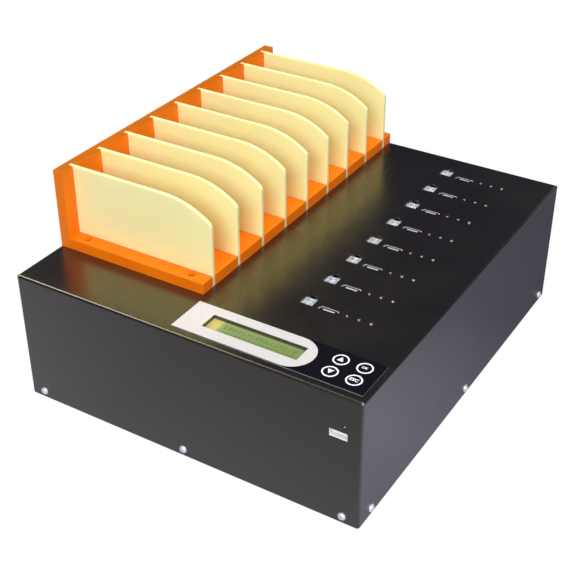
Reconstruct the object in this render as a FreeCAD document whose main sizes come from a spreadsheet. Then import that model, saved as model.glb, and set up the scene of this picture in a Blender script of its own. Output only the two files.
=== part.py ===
"""Eight-bay drive duplicator: a sheet-metal controller box with an open drive rack on its lid.

Frame: +X to the right, +Y to the rear, +Z up. The origin is on the standing surface, under the
middle of the box. All sizes are in millimetres.

The driving sizes are in the sheet "Sizes". What follows from them is in the sheet "Places".
"""
import FreeCAD, Part
import math
import os
import re

import Sketcher

DOC = FreeCAD.newDocument("drive_duplicator")

# ---------------------------------------------------------------------------------------------
# The two sheets
# ---------------------------------------------------------------------------------------------

SIZES = [
    ("cover_wide", 280, "casing, left to right"),
    ("cover_tall", 104, "folded cover, lower edge to top face"),
    ("sheet_thick", 1.2, "steel sheet of cover and tray"),
    ("bend_round", 0.8, "inside radius of every fold"),
    ("fit_gap", 0.1, "clearance between two pieces that slot together"),
    ("tray_lip", 14, "height of the tray's upturned edge"),
    ("foot_tall", 4, "rubber foot, and so the height of the box off the table"),
    ("foot_across", 18, "rubber foot at the tray"),
    ("foot_taper", 1.5, "how much smaller the foot's radius is at the table"),
    ("foot_inset", 28, "foot centre from the casing's sides"),
    ("vent_long", 46, "air slot in the tray, left to right"),
    ("vent_wide", 3, "air slot, front to rear"),
    ("vent_step", 8, "air slot to air slot"),
    ("vent_count", 9, "air slots"),
    ("vent_rear", 62, "first air slot behind the casing's middle"),
    ("screw_across", 3, "shank of a casing screw"),
    ("screw_long", 6, "shank length of a casing screw"),
    ("head_across", 6, "pan head"),
    ("head_tall", 1.9, "pan head"),
    ("screw_up", 5.5, "casing screws above the cover's lower edge"),
    ("screw_inset", 12.5, "outer casing screws from the casing's corner"),
    ("side_inset", 17, "front screw of each side from the casing's front"),
    ("rack_edge", 0.5, "rack from the casing's left edge"),
    ("rack_setback", 48.5, "rack from the casing's front edge"),
    ("rack_behind", 0.5, "casing behind the rack"),
    ("rack_end", 13.3, "outer divider's middle from the rack's front and rear ends"),
    ("rack_deep", 127.5, "rack, left to right"),
    ("base_thick", 8.5, "rack base plate"),
    ("wall_thick", 8.5, "rack back wall"),
    ("wall_tall", 62.5, "rack back wall above the lid"),
    ("rack_soft", 0.6, "softened edge of the rack's plates"),
    ("divider_thick", 3, "divider plate"),
    ("divider_pitch", 31.8, "divider to divider, and port row to port row"),
    ("bay_count", 8, "drive bays"),
    ("slot_deep", 4, "how far a divider seats in the back wall"),
    ("groove_deep", 3, "how far a divider seats in the base plate"),
    ("kerf_long", 24, "open saw cut at the base plate's right edge"),
    ("nose_start", 87.5, "start of the divider's sloping nose, from the rack's left face"),
    ("nose_round", 64, "radius of the divider's nose"),
    ("corner_round", 5, "radius of the divider's outer corner"),
    ("bolt_across", 3, "rack bolt"),
    ("bolt_head", 5.2, "rack bolt's head"),
    ("bolt_head_tall", 2.4, "rack bolt's head"),
    ("bolt_sink", 5, "depth of the bore that hides the bolt's head"),
    ("bolt_left", 20.8, "left bolts from the rack's left face"),
    ("bolt_right", 14.2, "right bolts from the rack's right face"),
    ("bolt_inset", 6.8, "bolts from the rack's front and rear ends"),
    ("nut_flats", 5.5, "nut across flats"),
    ("nut_tall", 2.4, "nut"),
    ("wall_screw_deep", 14, "how far the wall screws reach into the back wall"),
    ("panel_right", 4.3, "key panel's film from the casing's right edge"),
    ("panel_front", 6.4, "key panel's film from the casing's front edge"),
    ("panel_wide", 145.2, "key panel's film"),
    ("panel_deep", 34.6, "key panel's film"),
    ("panel_thick", 0.4, "key panel's film"),
    ("window_left", 18.2, "display window from the film's left edge"),
    ("window_front", 10.3, "display window from the film's front edge"),
    ("window_wide", 73.5, "display window"),
    ("window_deep", 15.3, "display window"),
    ("lcd_sunk", 2.7, "display glass below the lid"),
    ("lcd_rim", 1.5, "bezel lip over the glass"),
    ("lcd_edge", 4, "bezel around the window"),
    ("glass_edge", 2, "glass beyond the window on each side"),
    ("key_across", 8.4, "round key"),
    ("key_flange", 11, "collar that keeps a key under the lid"),
    ("key_flange_thick", 0.8, "collar"),
    ("key_side_gap", 0.25, "gap around a key"),
    ("key_proud", 0.3, "key above the film"),
    ("key_travel", 0.5, "key stroke"),
    ("key_slack", 0.15, "room left under a fully pressed key"),
    ("key_stem", 3.4, "key's plunger"),
    ("key_right", 29.4, "first column of keys from the film's right edge"),
    ("key_front", 11.2, "first row of keys from the film's front edge"),
    ("key_step_across", 17.3, "key column to key column"),
    ("key_step_back", 14.3, "key row to key row"),
    ("switch_side", 6, "key switch body"),
    ("switch_tall", 3.4, "key switch body"),
    ("board_thick", 1.6, "every circuit board"),
    ("panel_board_down", 8.5, "key panel's board below the lid's top face"),
    ("header_right", 85.95, "power headers' centre from the casing's right edge"),
    ("header_back", 2.8, "power header behind the middle of its row"),
    ("header_side", 9.6, "four-way power header, square"),
    ("header_tall", 12.7, "power header above its board"),
    ("header_sunk", 1.2, "power header below the lid's top face"),
    ("header_pitch", 4.2, "contact to contact"),
    ("cavity_side", 3.4, "one of the header's four wells"),
    ("cavity_deep", 9.5, "well"),
    ("pin_side", 1.1, "square contact pin"),
    ("pin_tall", 9, "contact pin above the board"),
    ("pin_tail", 1, "contact pin below the board"),
    ("latch_wide", 4.2, "latch relief behind each header"),
    ("latch_deep", 2.6, "latch relief"),
    ("port_right", 69, "data ports' centre from the casing's right edge"),
    ("port_wide", 15, "data port's shell, long side"),
    ("port_narrow", 12, "data port's shell, short side"),
    ("port_deep", 4.9, "data port's shell, front to rear"),
    ("port_slope", 1.6, "depth of the shell's slanted corners"),
    ("port_wall", 0.4, "shell's sheet"),
    ("port_sunk", 1, "shell below the lid's top face"),
    ("port_back", 0.15, "data port behind the middle of its row"),
    ("tongue_wide", 9.4, "contact tongue in a data port"),
    ("tongue_thick", 1.3, "contact tongue"),
    ("tongue_sunk", 0.2, "tongue below the shell's mouth"),
    ("tongue_foot", 2, "plastic floor of the data port"),
    ("led_right", 54.8, "first lamp of a row from the casing's right edge"),
    ("led_step", 9.15, "lamp to lamp"),
    ("led_across", 3, "lamp"),
    ("led_proud", 0.6, "lamp above the sheet it looks through"),
    ("led_collar", 3.9, "lamp's collar"),
    ("led_collar_tall", 1, "lamp's collar"),
    ("lead_side", 0.5, "lamp's leads"),
    ("lead_pitch", 2.5, "lamp's leads"),
    ("port_board_right", 92, "port board's left edge from the casing's right edge"),
    ("port_board_wide", 64, "port board"),
    ("port_board_over", 16, "port board beyond the first and last rows"),
    ("post_across", 6, "spacer post"),
    ("peg_across", 3, "spacer's peg through a board"),
    ("peg_long", 1, "peg past the board"),
    ("post_inset", 3.8, "post from a board's edge"),
    ("usb_right", 17, "USB socket's centre from the casing's right edge"),
    ("usb_down", 31.2, "USB socket's centre below the lid's top face"),
    ("usb_wide", 13.1, "USB shell"),
    ("usb_tall", 5.8, "USB shell"),
    ("usb_deep", 14, "USB shell"),
    ("usb_wall", 0.4, "USB shell's sheet"),
    ("usb_tongue_wide", 11, "USB tongue"),
    ("usb_tongue_thick", 1.9, "USB tongue"),
    ("usb_tongue_down", 0.7, "tongue above the middle of the socket"),
    ("lamp_right", 12.9, "front lamp from the casing's right edge"),
    ("lamp_down", 23.6, "front lamp below the lid's top face"),
    ("usb_board_wide", 24, "USB board"),
    ("usb_board_tall", 34, "USB board"),
    ("fan_left", 80, "fan centre from the casing's left edge"),
    ("fan_floor", 16, "fan frame above the cover's lower edge"),
    ("fan_headroom", 8, "fan frame below the lid's top face"),
    ("fan_deep", 25, "fan frame"),
    ("fan_flange", 4, "fan frame's flanges"),
    ("fan_rim", 2, "fan frame's wall at its thinnest"),
    ("fan_hub", 32, "rotor hub"),
    ("fan_hub_deep", 17, "rotor hub"),
    ("fan_tip_gap", 0.9, "gap around the blades"),
    ("fan_end_gap", 1, "gap between rotor and frame's spokes"),
    ("blade_count", 7, "fan blades"),
    ("blade_thick", 1.8, "fan blade"),
    ("blade_root_sweep", 9, "blade's slant at the hub"),
    ("blade_tip_sweep", 20, "blade's slant at the tip"),
    ("blade_deep", 14, "blade, front to rear"),
    ("spoke_wide", 4, "fan frame's spokes"),
    ("spoke_thick", 3, "fan frame's spokes"),
    ("shaft_across", 3, "fan shaft"),
    ("shaft_gap", 0.05, "running clearance of shafts and pivots"),
    ("tube_across", 8, "fan's bearing tube"),
    ("tube_long", 12, "fan's bearing tube"),
    ("fan_hole_inset", 4.25, "fan screws from the frame's sides"),
    ("fan_screw", 4.2, "fan screw"),
    ("fan_screw_head", 8, "fan screw"),
    ("fan_screw_head_tall", 2.4, "fan screw"),
    ("fan_screw_long", 11, "fan screw under its head"),
    ("guard_wire", 1.6, "finger guard's wire"),
    ("guard_ring", 22, "smallest ring of the guard, across"),
    ("guard_eye", 9, "guard's screw eye"),
    ("inlet_right", 52, "mains inlet's centre from the casing's right edge"),
    ("inlet_up", 54, "mains inlet's centre above the cover's lower edge"),
    ("inlet_wide", 27, "mains inlet's body"),
    ("inlet_tall", 47, "mains inlet's body"),
    ("inlet_deep", 26, "mains inlet's body behind the sheet"),
    ("inlet_lip", 2.2, "inlet's flange around its body"),
    ("inlet_lip_thick", 2.4, "inlet's flange"),
    ("socket_wide", 24.4, "well for the mains plug"),
    ("socket_tall", 16.8, "well for the mains plug"),
    ("socket_deep", 16.5, "well for the mains plug"),
    ("socket_corner", 4, "cut corners of the well"),
    ("socket_down", 11.6, "well's centre below the inlet's centre"),
    ("blade_pin_wide", 2, "mains pins"),
    ("blade_pin_tall", 4, "mains pins"),
    ("blade_pin_long", 14.5, "mains pins in the well"),
    ("blade_pin_pitch", 14, "live pin to neutral pin"),
    ("blade_pin_rise", 4, "earth pin above the other two"),
    ("blade_pin_tail", 7, "mains pins behind the inlet"),
    ("rocker_up", 12.4, "rocker's centre above the inlet's centre"),
    ("rocker_wide", 18.4, "rocker"),
    ("rocker_tall", 12.6, "rocker"),
    ("rocker_rise", 3.7, "rocker's ends above its pivot"),
    ("rocker_dip", 2.6, "rocker's middle above its pivot"),
    ("rocker_belly", 5.5, "rocker's underside below its pivot"),
    ("rocker_side_gap", 0.3, "gap above and below the rocker"),
    ("rocker_end_gap", 0.9, "gap at the rocker's ends"),
    ("rocker_tilt", 10, "rocker's tilt each way, degrees"),
    ("rocker_pin", 2.4, "rocker's pivot"),
    ("rocker_pin_long", 1.5, "rocker's pivot in the housing"),
    ("supply_wide", 81.5, "power supply"),
    ("supply_tall", 40.5, "power supply"),
    ("supply_right", 16, "power supply from the casing's right edge"),
    ("supply_gap", 6, "power supply behind the controller board"),
    ("supply_behind", 12, "power supply in front of the mains inlet"),
    ("main_board_left", 16, "controller board from the casing's left edge"),
    ("main_board_front", 16, "controller board from the casing's front edge"),
    ("main_board_wide", 150, "controller board"),
    ("main_board_deep", 120, "controller board"),
    ("main_board_up", 8, "controller board above the tray"),
    ("sink_side", 36, "heat sink on the controller chip"),
    ("sink_tall", 12, "heat sink"),
    ("sink_base", 3, "heat sink's base"),
    ("sink_fin", 1.6, "heat sink's fins"),
    ("sink_step", 5.2, "fin to fin"),
]

PLACES = [
    # the casing's planes
    ("cover_left", "-cover_wide / 2"),
    ("cover_right", "cover_wide / 2"),
    ("rack_long", "bay_count * divider_pitch + 2 * rack_end"),
    ("cover_deep", "rack_setback + rack_long + rack_behind"),
    ("cover_front", "-cover_deep / 2"),
    ("cover_rear", "cover_deep / 2"),
    ("cover_low", "foot_tall"),
    ("cover_top", "foot_tall + cover_tall"),
    ("ceiling", "cover_top - sheet_thick"),
    ("tray_top", "foot_tall + sheet_thick"),
    ("bend_out", "bend_round + sheet_thick"),
    ("tray_inset", "sheet_thick + fit_gap"),
    # the rack's planes
    ("rack_left", "cover_left + rack_edge"),
    ("rack_right", "rack_left + rack_deep"),
    ("rack_front", "cover_front + rack_setback"),
    ("rack_rear", "rack_front + rack_long"),
    ("wall_face", "rack_left + wall_thick"),
    ("wall_top", "cover_top + wall_tall"),
    ("base_top", "cover_top + base_thick"),
    ("divider_first", "rack_front + rack_end"),
    ("slot_half", "divider_thick / 2 + fit_gap"),
    ("row_first", "divider_first + divider_pitch / 2"),
    ("bolt_step_across", "rack_deep - bolt_left - bolt_right"),
    ("bolt_step_back", "rack_long - 2 * bolt_inset"),
    # the key panel
    ("film_left", "cover_right - panel_right - panel_wide"),
    ("film_front", "cover_front + panel_front"),
    ("film_top", "cover_top + panel_thick"),
    ("glass_left", "film_left + window_left"),
    ("glass_front", "film_front + window_front"),
    ("glass_top", "cover_top - lcd_sunk"),
    ("key_first_across", "film_left + panel_wide - key_right"),
    ("key_first_back", "film_front + key_front"),
    ("key_top", "film_top + key_proud"),
    ("key_collar_top", "ceiling - fit_gap"),
    ("panel_board_top", "cover_top - panel_board_down"),
    # the ports
    ("port_board_top", "cover_top - header_sunk - header_tall"),
    ("board_left", "cover_right - port_board_right"),
    ("board_front", "row_first - port_board_over"),
    ("board_long", "(bay_count - 1) * divider_pitch + 2 * port_board_over"),
    ("header_middle", "cover_right - header_right"),
    ("port_middle", "cover_right - port_right"),
    ("led_first", "cover_right - led_right"),
    # the front socket
    ("usb_middle", "cover_right - usb_right"),
    ("usb_level", "cover_top - usb_down"),
    ("usb_board_face", "cover_front + usb_deep"),
    ("usb_board_low", "usb_level - usb_board_tall / 2"),
    # the rear
    ("fan_middle", "cover_left + fan_left"),
    ("fan_side", "cover_tall - fan_floor - fan_headroom"),
    ("fan_bore", "fan_side - 2 * fan_rim"),
    ("fan_hole_pitch", "fan_side - 2 * fan_hole_inset"),
    ("fan_level", "cover_low + fan_floor + fan_side / 2"),
    ("guard_step", "(fan_bore - guard_ring) / 6"),
    ("rear_inside", "cover_rear - sheet_thick"),
    ("spoke_front", "rear_inside - spoke_thick"),
    ("inlet_middle", "cover_right - inlet_right"),
    ("inlet_level", "cover_low + inlet_up"),
    ("socket_level", "inlet_level - socket_down"),
    ("rocker_level", "inlet_level + rocker_up"),
    ("inlet_face", "cover_rear + inlet_lip_thick"),
    ("rocker_pivot", "inlet_face - rocker_dip"),
    # the inside
    ("main_board_face", "tray_top + main_board_up"),
    ("main_left", "cover_left + main_board_left"),
    ("main_front", "cover_front + main_board_front"),
    ("supply_front", "main_front + main_board_deep + supply_gap"),
    ("supply_rear", "cover_rear - inlet_deep - supply_behind"),
]

SHEET_OF = {}


def make_sheet(label, rows):
    """Fill one sheet with aliased cells: the name in column A, the value in B, a note in C."""
    sheet = DOC.addObject("Spreadsheet::Sheet", label)
    for number, row in enumerate(rows, start=1):
        alias, content, note = row
        sheet.set("A%d" % number, alias)
        sheet.set("B%d" % number, content)
        sheet.set("C%d" % number, note)
        sheet.setAlias("B%d" % number, alias)
        SHEET_OF[alias] = label
    return sheet


def formula(text):
    """Turn plain names in a sum into references to the sheet that holds each of them."""
    def with_sheet(found):
        word = found.group(0)
        return SHEET_OF[word] + "." + word if word in SHEET_OF else word
    return re.sub(r"[a-z][a-z_]*", with_sheet, text)


def value(alias):
    """The present number in an aliased cell."""
    return float(DOC.getObject(SHEET_OF[alias]).get(alias))


def number(text):
    """What a formula comes to at present."""
    def with_number(found):
        word = found.group(0)
        return "(%.9f)" % value(word) if word in SHEET_OF else word
    return FreeCAD.Units.parseQuantity(re.sub(r"[a-z][a-z_]*", with_number, text)).Value


def make_sheets():
    make_sheet("Sizes", [(alias, str(number), note) for alias, number, note in SIZES])
    for alias, _ in PLACES:
        SHEET_OF[alias] = "Places"
    make_sheet("Places", [(alias, "=" + formula(text), text) for alias, text in PLACES])
    DOC.recompute()


# ---------------------------------------------------------------------------------------------
# Sketching and features
# ---------------------------------------------------------------------------------------------

PLANES = {"top": "XY_Plane", "front": "XZ_Plane", "side": "YZ_Plane"}
AXES = {"across": "X_Axis", "back": "Y_Axis", "up": "Z_Axis"}


def origin_piece(owner, role):
    """One of the body's own origin planes or axes."""
    return [piece for piece in owner.Origin.OriginFeatures if piece.Role == role][0]


def body(name, across="0", back="0", up="0", several=False):
    """A new sub-part, placed at three named places. `several` allows separate solids in it."""
    owner = DOC.addObject("PartDesign::Body", name)
    owner.Label = name
    owner.AllowCompound = several
    owner.setExpression("Placement.Base.x", formula(across))
    owner.setExpression("Placement.Base.y", formula(back))
    owner.setExpression("Placement.Base.z", formula(up))
    return owner


def sketch(owner, plane, lift="0", across="0", up="0"):
    """A sketch on an origin plane of its body. `lift` runs along the plane's normal, which is
    +Z for "top", -Y for "front" and +X for "side"; `across` and `up` shift its own origin."""
    drawing = owner.newObject("Sketcher::SketchObject", "Sketch")
    drawing.Label = "sketch of " + owner.Label
    drawing.AttachmentSupport = [(origin_piece(owner, PLANES[plane]), "")]
    drawing.MapMode = "FlatFace"
    drawing.setExpression("AttachmentOffset.Base.x", formula(across))
    drawing.setExpression("AttachmentOffset.Base.y", formula(up))
    drawing.setExpression("AttachmentOffset.Base.z", formula(lift))
    return drawing


def hold(drawing, kind, item, point, text, guess=1.0):
    """A dimension from the sketch's origin to a point, bound to a formula."""
    number = drawing.addConstraint(Sketcher.Constraint(kind, -1, 1, item, point, guess))
    drawing.setExpression("Constraints[%d]" % number, formula(text))


def outline(drawing, corners):
    """A closed polygon. Each corner is a pair of formulas."""
    count = len(corners)
    spread = [FreeCAD.Vector(math.cos(2 * math.pi * i / count), math.sin(2 * math.pi * i / count), 0)
              for i in range(count)]
    lines = [drawing.addGeometry(Part.LineSegment(spread[i], spread[(i + 1) % count]))
             for i in range(count)]
    for i in range(count):
        drawing.addConstraint(Sketcher.Constraint("Coincident", lines[i], 2, lines[(i + 1) % count], 1))
    for line, (across, up) in zip(lines, corners):
        hold(drawing, "DistanceX", line, 1, across)
        hold(drawing, "DistanceY", line, 1, up)
    return lines


def bowed_outline(drawing, corners, bow, middle):
    """A closed outline whose side after corner number `bow` is an arc about `middle`. The arc runs
    anticlockwise and ends straight above its middle."""
    count = len(corners)
    spots = [FreeCAD.Vector(number(across), number(up), 0) for across, up in corners]
    centre = FreeCAD.Vector(number(middle[0]), number(middle[1]), 0)
    items = []
    for i in range(count):
        start, end = spots[i], spots[(i + 1) % count]
        if i == bow:
            ring = Part.Circle(centre, FreeCAD.Vector(0, 0, 1), (start - centre).Length)
            first = math.atan2(start.y - centre.y, start.x - centre.x)
            items.append(drawing.addGeometry(Part.ArcOfCircle(ring, first, math.pi / 2)))
        else:
            items.append(drawing.addGeometry(Part.LineSegment(start, end)))
    for i in range(count):
        drawing.addConstraint(Sketcher.Constraint("Coincident", items[i], 2, items[(i + 1) % count], 1))
    for item, spot, (across, up) in zip(items, spots, corners):
        hold(drawing, "DistanceX", item, 1, across, spot.x)
        hold(drawing, "DistanceY", item, 1, up, spot.y)
    hold(drawing, "DistanceX", items[bow], 3, middle[0], centre.x)


def rectangle(drawing, left, right, low, high):
    """An upright rectangle between four formulas."""
    outline(drawing, [(left, low), (right, low), (right, high), (left, high)])


def centred(drawing, across, up, wide, tall):
    """An upright rectangle about a middle point."""
    rectangle(drawing, "%s - (%s) / 2" % (across, wide), "%s + (%s) / 2" % (across, wide),
              "%s - (%s) / 2" % (up, tall), "%s + (%s) / 2" % (up, tall))


def circle(drawing, across, up, diameter):
    """A circle by its middle and its diameter."""
    item = drawing.addGeometry(Part.Circle(FreeCAD.Vector(0, 0, 0), FreeCAD.Vector(0, 0, 1), 1))
    hold(drawing, "DistanceX", item, 3, across)
    hold(drawing, "DistanceY", item, 3, up)
    number = drawing.addConstraint(Sketcher.Constraint("Diameter", item, 2.0))
    drawing.setExpression("Constraints[%d]" % number, formula(diameter))
    return item


def hexagon(drawing, across, up, flats):
    """A regular hexagon about a middle point, by its width across flats."""
    corner = "(%s) / sqrt(3)" % flats
    half = "(%s) / 2" % flats
    outline(drawing, [
        ("%s + %s" % (across, corner), up),
        ("%s + %s / 2" % (across, corner), "%s + %s" % (up, half)),
        ("%s - %s / 2" % (across, corner), "%s + %s" % (up, half)),
        ("%s - %s" % (across, corner), up),
        ("%s - %s / 2" % (across, corner), "%s - %s" % (up, half)),
        ("%s + %s / 2" % (across, corner), "%s - %s" % (up, half)),
    ])


def pad(owner, drawing, length, against=False, taper="0"):
    """Material along the sketch's normal, or against it."""
    feature = owner.newObject("PartDesign::Pad", "Pad")
    feature.Profile = drawing
    feature.Reversed = against
    feature.setExpression("Length", formula(length))
    feature.setExpression("TaperAngle", formula(taper))
    return feature


def pocket(owner, drawing, length=None, along=False):
    """A cut against the sketch's normal, or along it. With no length it goes right through."""
    feature = owner.newObject("PartDesign::Pocket", "Pocket")
    feature.Profile = drawing
    feature.Reversed = along
    if length is None:
        feature.Type = "ThroughAll"
    else:
        feature.setExpression("Length", formula(length))
    return feature


def turn(owner, drawing, axis="V_Axis"):
    """A solid of revolution about one of the sketch's own axes."""
    feature = owner.newObject("PartDesign::Revolution", "Revolution")
    feature.Profile = drawing
    feature.ReferenceAxis = (drawing, [axis])
    feature.Angle = 360
    return feature


def repeat(owner, features, axis, step, count, twin_axis=None, twin_step=None):
    """Equal copies in a row. A twin axis and step make a second row of the same."""
    pattern = owner.newObject("PartDesign::LinearPattern", "LinearPattern")
    pattern.Originals = features
    pattern.Direction = (origin_piece(owner, AXES[axis]), [""])
    pattern.Mode = "Spacing"
    pattern.setExpression("Offset", formula(step))
    pattern.setExpression("Occurrences", formula(count))
    if twin_axis:
        pattern.Direction2 = (origin_piece(owner, AXES[twin_axis]), [""])
        pattern.Mode2 = "Spacing"
        pattern.Spacings2 = [-1.0]  # the one gap between the rows follows Offset2
        pattern.setExpression("Offset2", formula(twin_step))
        pattern.Occurrences2 = 2
    owner.Tip = pattern
    return pattern


def around(owner, features, axis, count):
    """Equal copies around one of the body's axes."""
    pattern = owner.newObject("PartDesign::PolarPattern", "PolarPattern")
    pattern.Originals = features
    pattern.Axis = (origin_piece(owner, AXES[axis]), [""])
    pattern.Angle = 360
    pattern.setExpression("Occurrences", formula(count))
    owner.Tip = pattern
    return pattern


def edges(feature, along, **places):
    """Names of the feature's straight edges along an axis whose middle lies at given places."""
    direction = {"across": 0, "back": 1, "up": 2}
    DOC.recompute()
    picked = []
    for number, edge in enumerate(feature.Shape.Edges, start=1):
        run = edge.Vertexes[-1].Point - edge.Vertexes[0].Point
        if run.Length == 0 or abs(run[direction[along]]) < 0.999 * run.Length:
            continue
        middle = (edge.Vertexes[0].Point + edge.Vertexes[-1].Point) * 0.5
        if all(min(abs(middle[direction[axis]] - spot) for spot in spots) < 1e-4
               for axis, spots in places.items()):
            picked.append("Edge%d" % number)
    return picked


def soften(owner, feature, names, radius):
    """Round the named edges of a feature."""
    fillet = owner.newObject("PartDesign::Fillet", "Fillet")
    fillet.Base = (feature, names)
    fillet.setExpression("Radius", formula(radius))
    return fillet


# ---------------------------------------------------------------------------------------------
# Casing
# ---------------------------------------------------------------------------------------------


def folded_box(owner, low, tall, inset, opens_down):
    """A five-sided box of sheet: a block with rounded folds, hollowed from its open side."""
    left, right = "cover_left + " + inset, "cover_right - " + inset
    front, rear = "cover_front + " + inset, "cover_rear - " + inset
    drawing = sketch(owner, "top", low)
    rectangle(drawing, left, right, front, rear)
    block = pad(owner, drawing, tall)
    DOC.recompute()
    box = block.Shape.BoundBox
    closed_side = box.ZMax if opens_down else box.ZMin
    open_side = box.ZMin if opens_down else box.ZMax
    outer = edges(block, "up", across=[box.XMin, box.XMax])
    outer += edges(block, "across", up=[closed_side])
    outer += edges(block, "back", up=[closed_side])
    skin = soften(owner, block, outer, "bend_out")
    drawing = sketch(owner, "top", low if opens_down else "%s + %s" % (low, tall))
    rectangle(drawing, left + " + sheet_thick", right + " - sheet_thick",
              front + " + sheet_thick", rear + " - sheet_thick")
    hollow = pocket(owner, drawing, tall + " - sheet_thick", along=opens_down)
    sheet = value("sheet_thick")
    inner_sides = [box.XMin + sheet, box.XMax - sheet]
    inner_ends = [box.YMin + sheet, box.YMax - sheet]
    inner_face = closed_side + (sheet if closed_side < open_side else -sheet)
    inner = edges(hollow, "up", across=inner_sides)
    inner += edges(hollow, "across", up=[inner_face], back=inner_ends)
    inner += edges(hollow, "back", up=[inner_face], across=inner_sides)
    soften(owner, hollow, inner, "bend_round")
    return skin


def lip_holes(owner, diameter):
    """Three screw holes in each of the four upright walls, drilled right through in two passes."""
    drawing = sketch(owner, "front", "-cover_front + 1")
    for across in ("cover_left + screw_inset", "0", "cover_right - screw_inset"):
        circle(drawing, across, "cover_low + screw_up", diameter)
    pocket(owner, drawing)
    drawing = sketch(owner, "side", "cover_right + 1")
    for back in ("cover_front + side_inset", "(side_inset - screw_inset) / 2", "cover_rear - screw_inset"):
        circle(drawing, back, "cover_low + screw_up", diameter)
    pocket(owner, drawing)


def window(drawing):
    """The display window's outline, shared by the lid, the film and the bezel."""
    rectangle(drawing, "glass_left", "glass_left + window_wide", "glass_front", "glass_front + window_deep")


def key_places():
    """The middles of the four keys, as formulas, with the key that sits there."""
    for name, column, row in (("up_key", 0, 1), ("down_key", 0, 0), ("ok_key", 1, 1), ("back_key", 1, 0)):
        yield (name, "key_first_across + %d * key_step_across" % column,
               "key_first_back + %d * key_step_back" % row)


def port_outline(drawing, across, back, grow):
    """A data port's shell: a long side to the front and slanted rear corners."""
    wide = "(port_wide / 2 + %s)" % grow
    narrow = "(port_narrow / 2 + %s)" % grow
    deep = "(port_deep / 2 + %s)" % grow
    outline(drawing, [
        ("%s - %s" % (across, wide), "%s - %s" % (back, deep)),
        ("%s + %s" % (across, wide), "%s - %s" % (back, deep)),
        ("%s + %s" % (across, wide), "%s + %s - port_slope" % (back, deep)),
        ("%s + %s" % (across, narrow), "%s + %s" % (back, deep)),
        ("%s - %s" % (across, narrow), "%s + %s" % (back, deep)),
        ("%s - %s" % (across, wide), "%s + %s - port_slope" % (back, deep)),
    ])


def top_cover():
    """Lid and four walls, folded from one sheet, with every opening of the box."""
    cover = body("top_cover")
    folded_box(cover, "cover_low", "cover_tall", "0", opens_down=True)
    lip_holes(cover, "screw_across + 2 * fit_gap")
    # window, keys and the rack's bolts and screws, all in the lid
    drawing = sketch(cover, "top", "cover_top")
    window(drawing)
    for _, across, back in key_places():
        circle(drawing, across, back, "key_across + 2 * key_side_gap")
    for column in (0, 1):
        for row in (0, 1):
            circle(drawing, "rack_left + bolt_left + %d * bolt_step_across" % column,
                   "rack_front + bolt_inset + %d * bolt_step_back" % row, "bolt_across + 2 * fit_gap")
    for bay in (0, 2, 5, 7):
        circle(drawing, "rack_left + wall_thick / 2", "row_first + %d * divider_pitch" % bay,
               "bolt_across + 2 * fit_gap")
    pocket(cover, drawing, "2 * sheet_thick")
    # one row of port openings, then all rows
    drawing = sketch(cover, "top", "cover_top")
    half = "(header_side / 2 + fit_gap)"
    back = "(row_first + header_back)"
    latch = "(%s + %s + latch_deep)" % (back, half)
    outline(drawing, [
        ("header_middle - " + half, back + " - " + half),
        ("header_middle + " + half, back + " - " + half),
        ("header_middle + " + half, back + " + " + half),
        ("header_middle + latch_wide / 2", back + " + " + half),
        ("header_middle + latch_wide / 2", latch),
        ("header_middle - latch_wide / 2", latch),
        ("header_middle - latch_wide / 2", back + " + " + half),
        ("header_middle - " + half, back + " + " + half),
    ])
    port_outline(drawing, "port_middle", "row_first + port_back", "fit_gap")
    for lamp in range(3):
        circle(drawing, "led_first + %d * led_step" % lamp, "row_first", "led_across + 2 * fit_gap")
    row = pocket(cover, drawing, "2 * sheet_thick")
    repeat(cover, [row], "back", "divider_pitch", "bay_count")
    # front wall: USB socket and lamp
    drawing = sketch(cover, "front", "-cover_front")
    centred(drawing, "usb_middle", "usb_level", "usb_wide + 2 * fit_gap", "usb_tall + 2 * fit_gap")
    circle(drawing, "cover_right - lamp_right", "cover_top - lamp_down", "led_across + 2 * fit_gap")
    pocket(cover, drawing, "2 * sheet_thick")
    # rear wall: fan, its screws and the mains inlet
    drawing = sketch(cover, "front", "-cover_rear")
    circle(drawing, "fan_middle", "fan_level", "fan_bore")
    for column in (-1, 1):
        for row in (-1, 1):
            circle(drawing, "fan_middle + %d * fan_hole_pitch / 2" % column,
                   "fan_level + %d * fan_hole_pitch / 2" % row, "fan_screw + 2 * fit_gap")
    centred(drawing, "inlet_middle", "inlet_level", "inlet_wide + 2 * fit_gap", "inlet_tall + 2 * fit_gap")
    pocket(cover, drawing, "2 * sheet_thick", along=True)
    return cover


def bottom_tray():
    """Floor of the box, with a lip all round that the cover is screwed to."""
    tray = body("bottom_tray")
    folded_box(tray, "cover_low", "tray_lip", "tray_inset", opens_down=False)
    lip_holes(tray, "screw_across + 2 * fit_gap")
    drawing = sketch(tray, "top", "tray_top")
    centred(drawing, "main_left + main_board_wide / 2", "vent_rear", "vent_long", "vent_wide")
    slot = pocket(tray, drawing, "2 * sheet_thick")
    repeat(tray, [slot], "back", "vent_step", "vent_count")
    return tray


def rubber_feet():
    """Four tapered stick-on feet."""
    feet = body("rubber_feet", "cover_left + foot_inset", "cover_front + foot_inset", several=True)
    drawing = sketch(feet, "front")
    outline(drawing, [("0", "0"), ("foot_across / 2 - foot_taper", "0"),
                      ("foot_across / 2", "foot_tall"), ("0", "foot_tall")])
    foot = turn(feet, drawing)
    repeat(feet, [foot], "across", "cover_wide - 2 * foot_inset", "2", "back", "cover_deep - 2 * foot_inset")
    return feet


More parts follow.
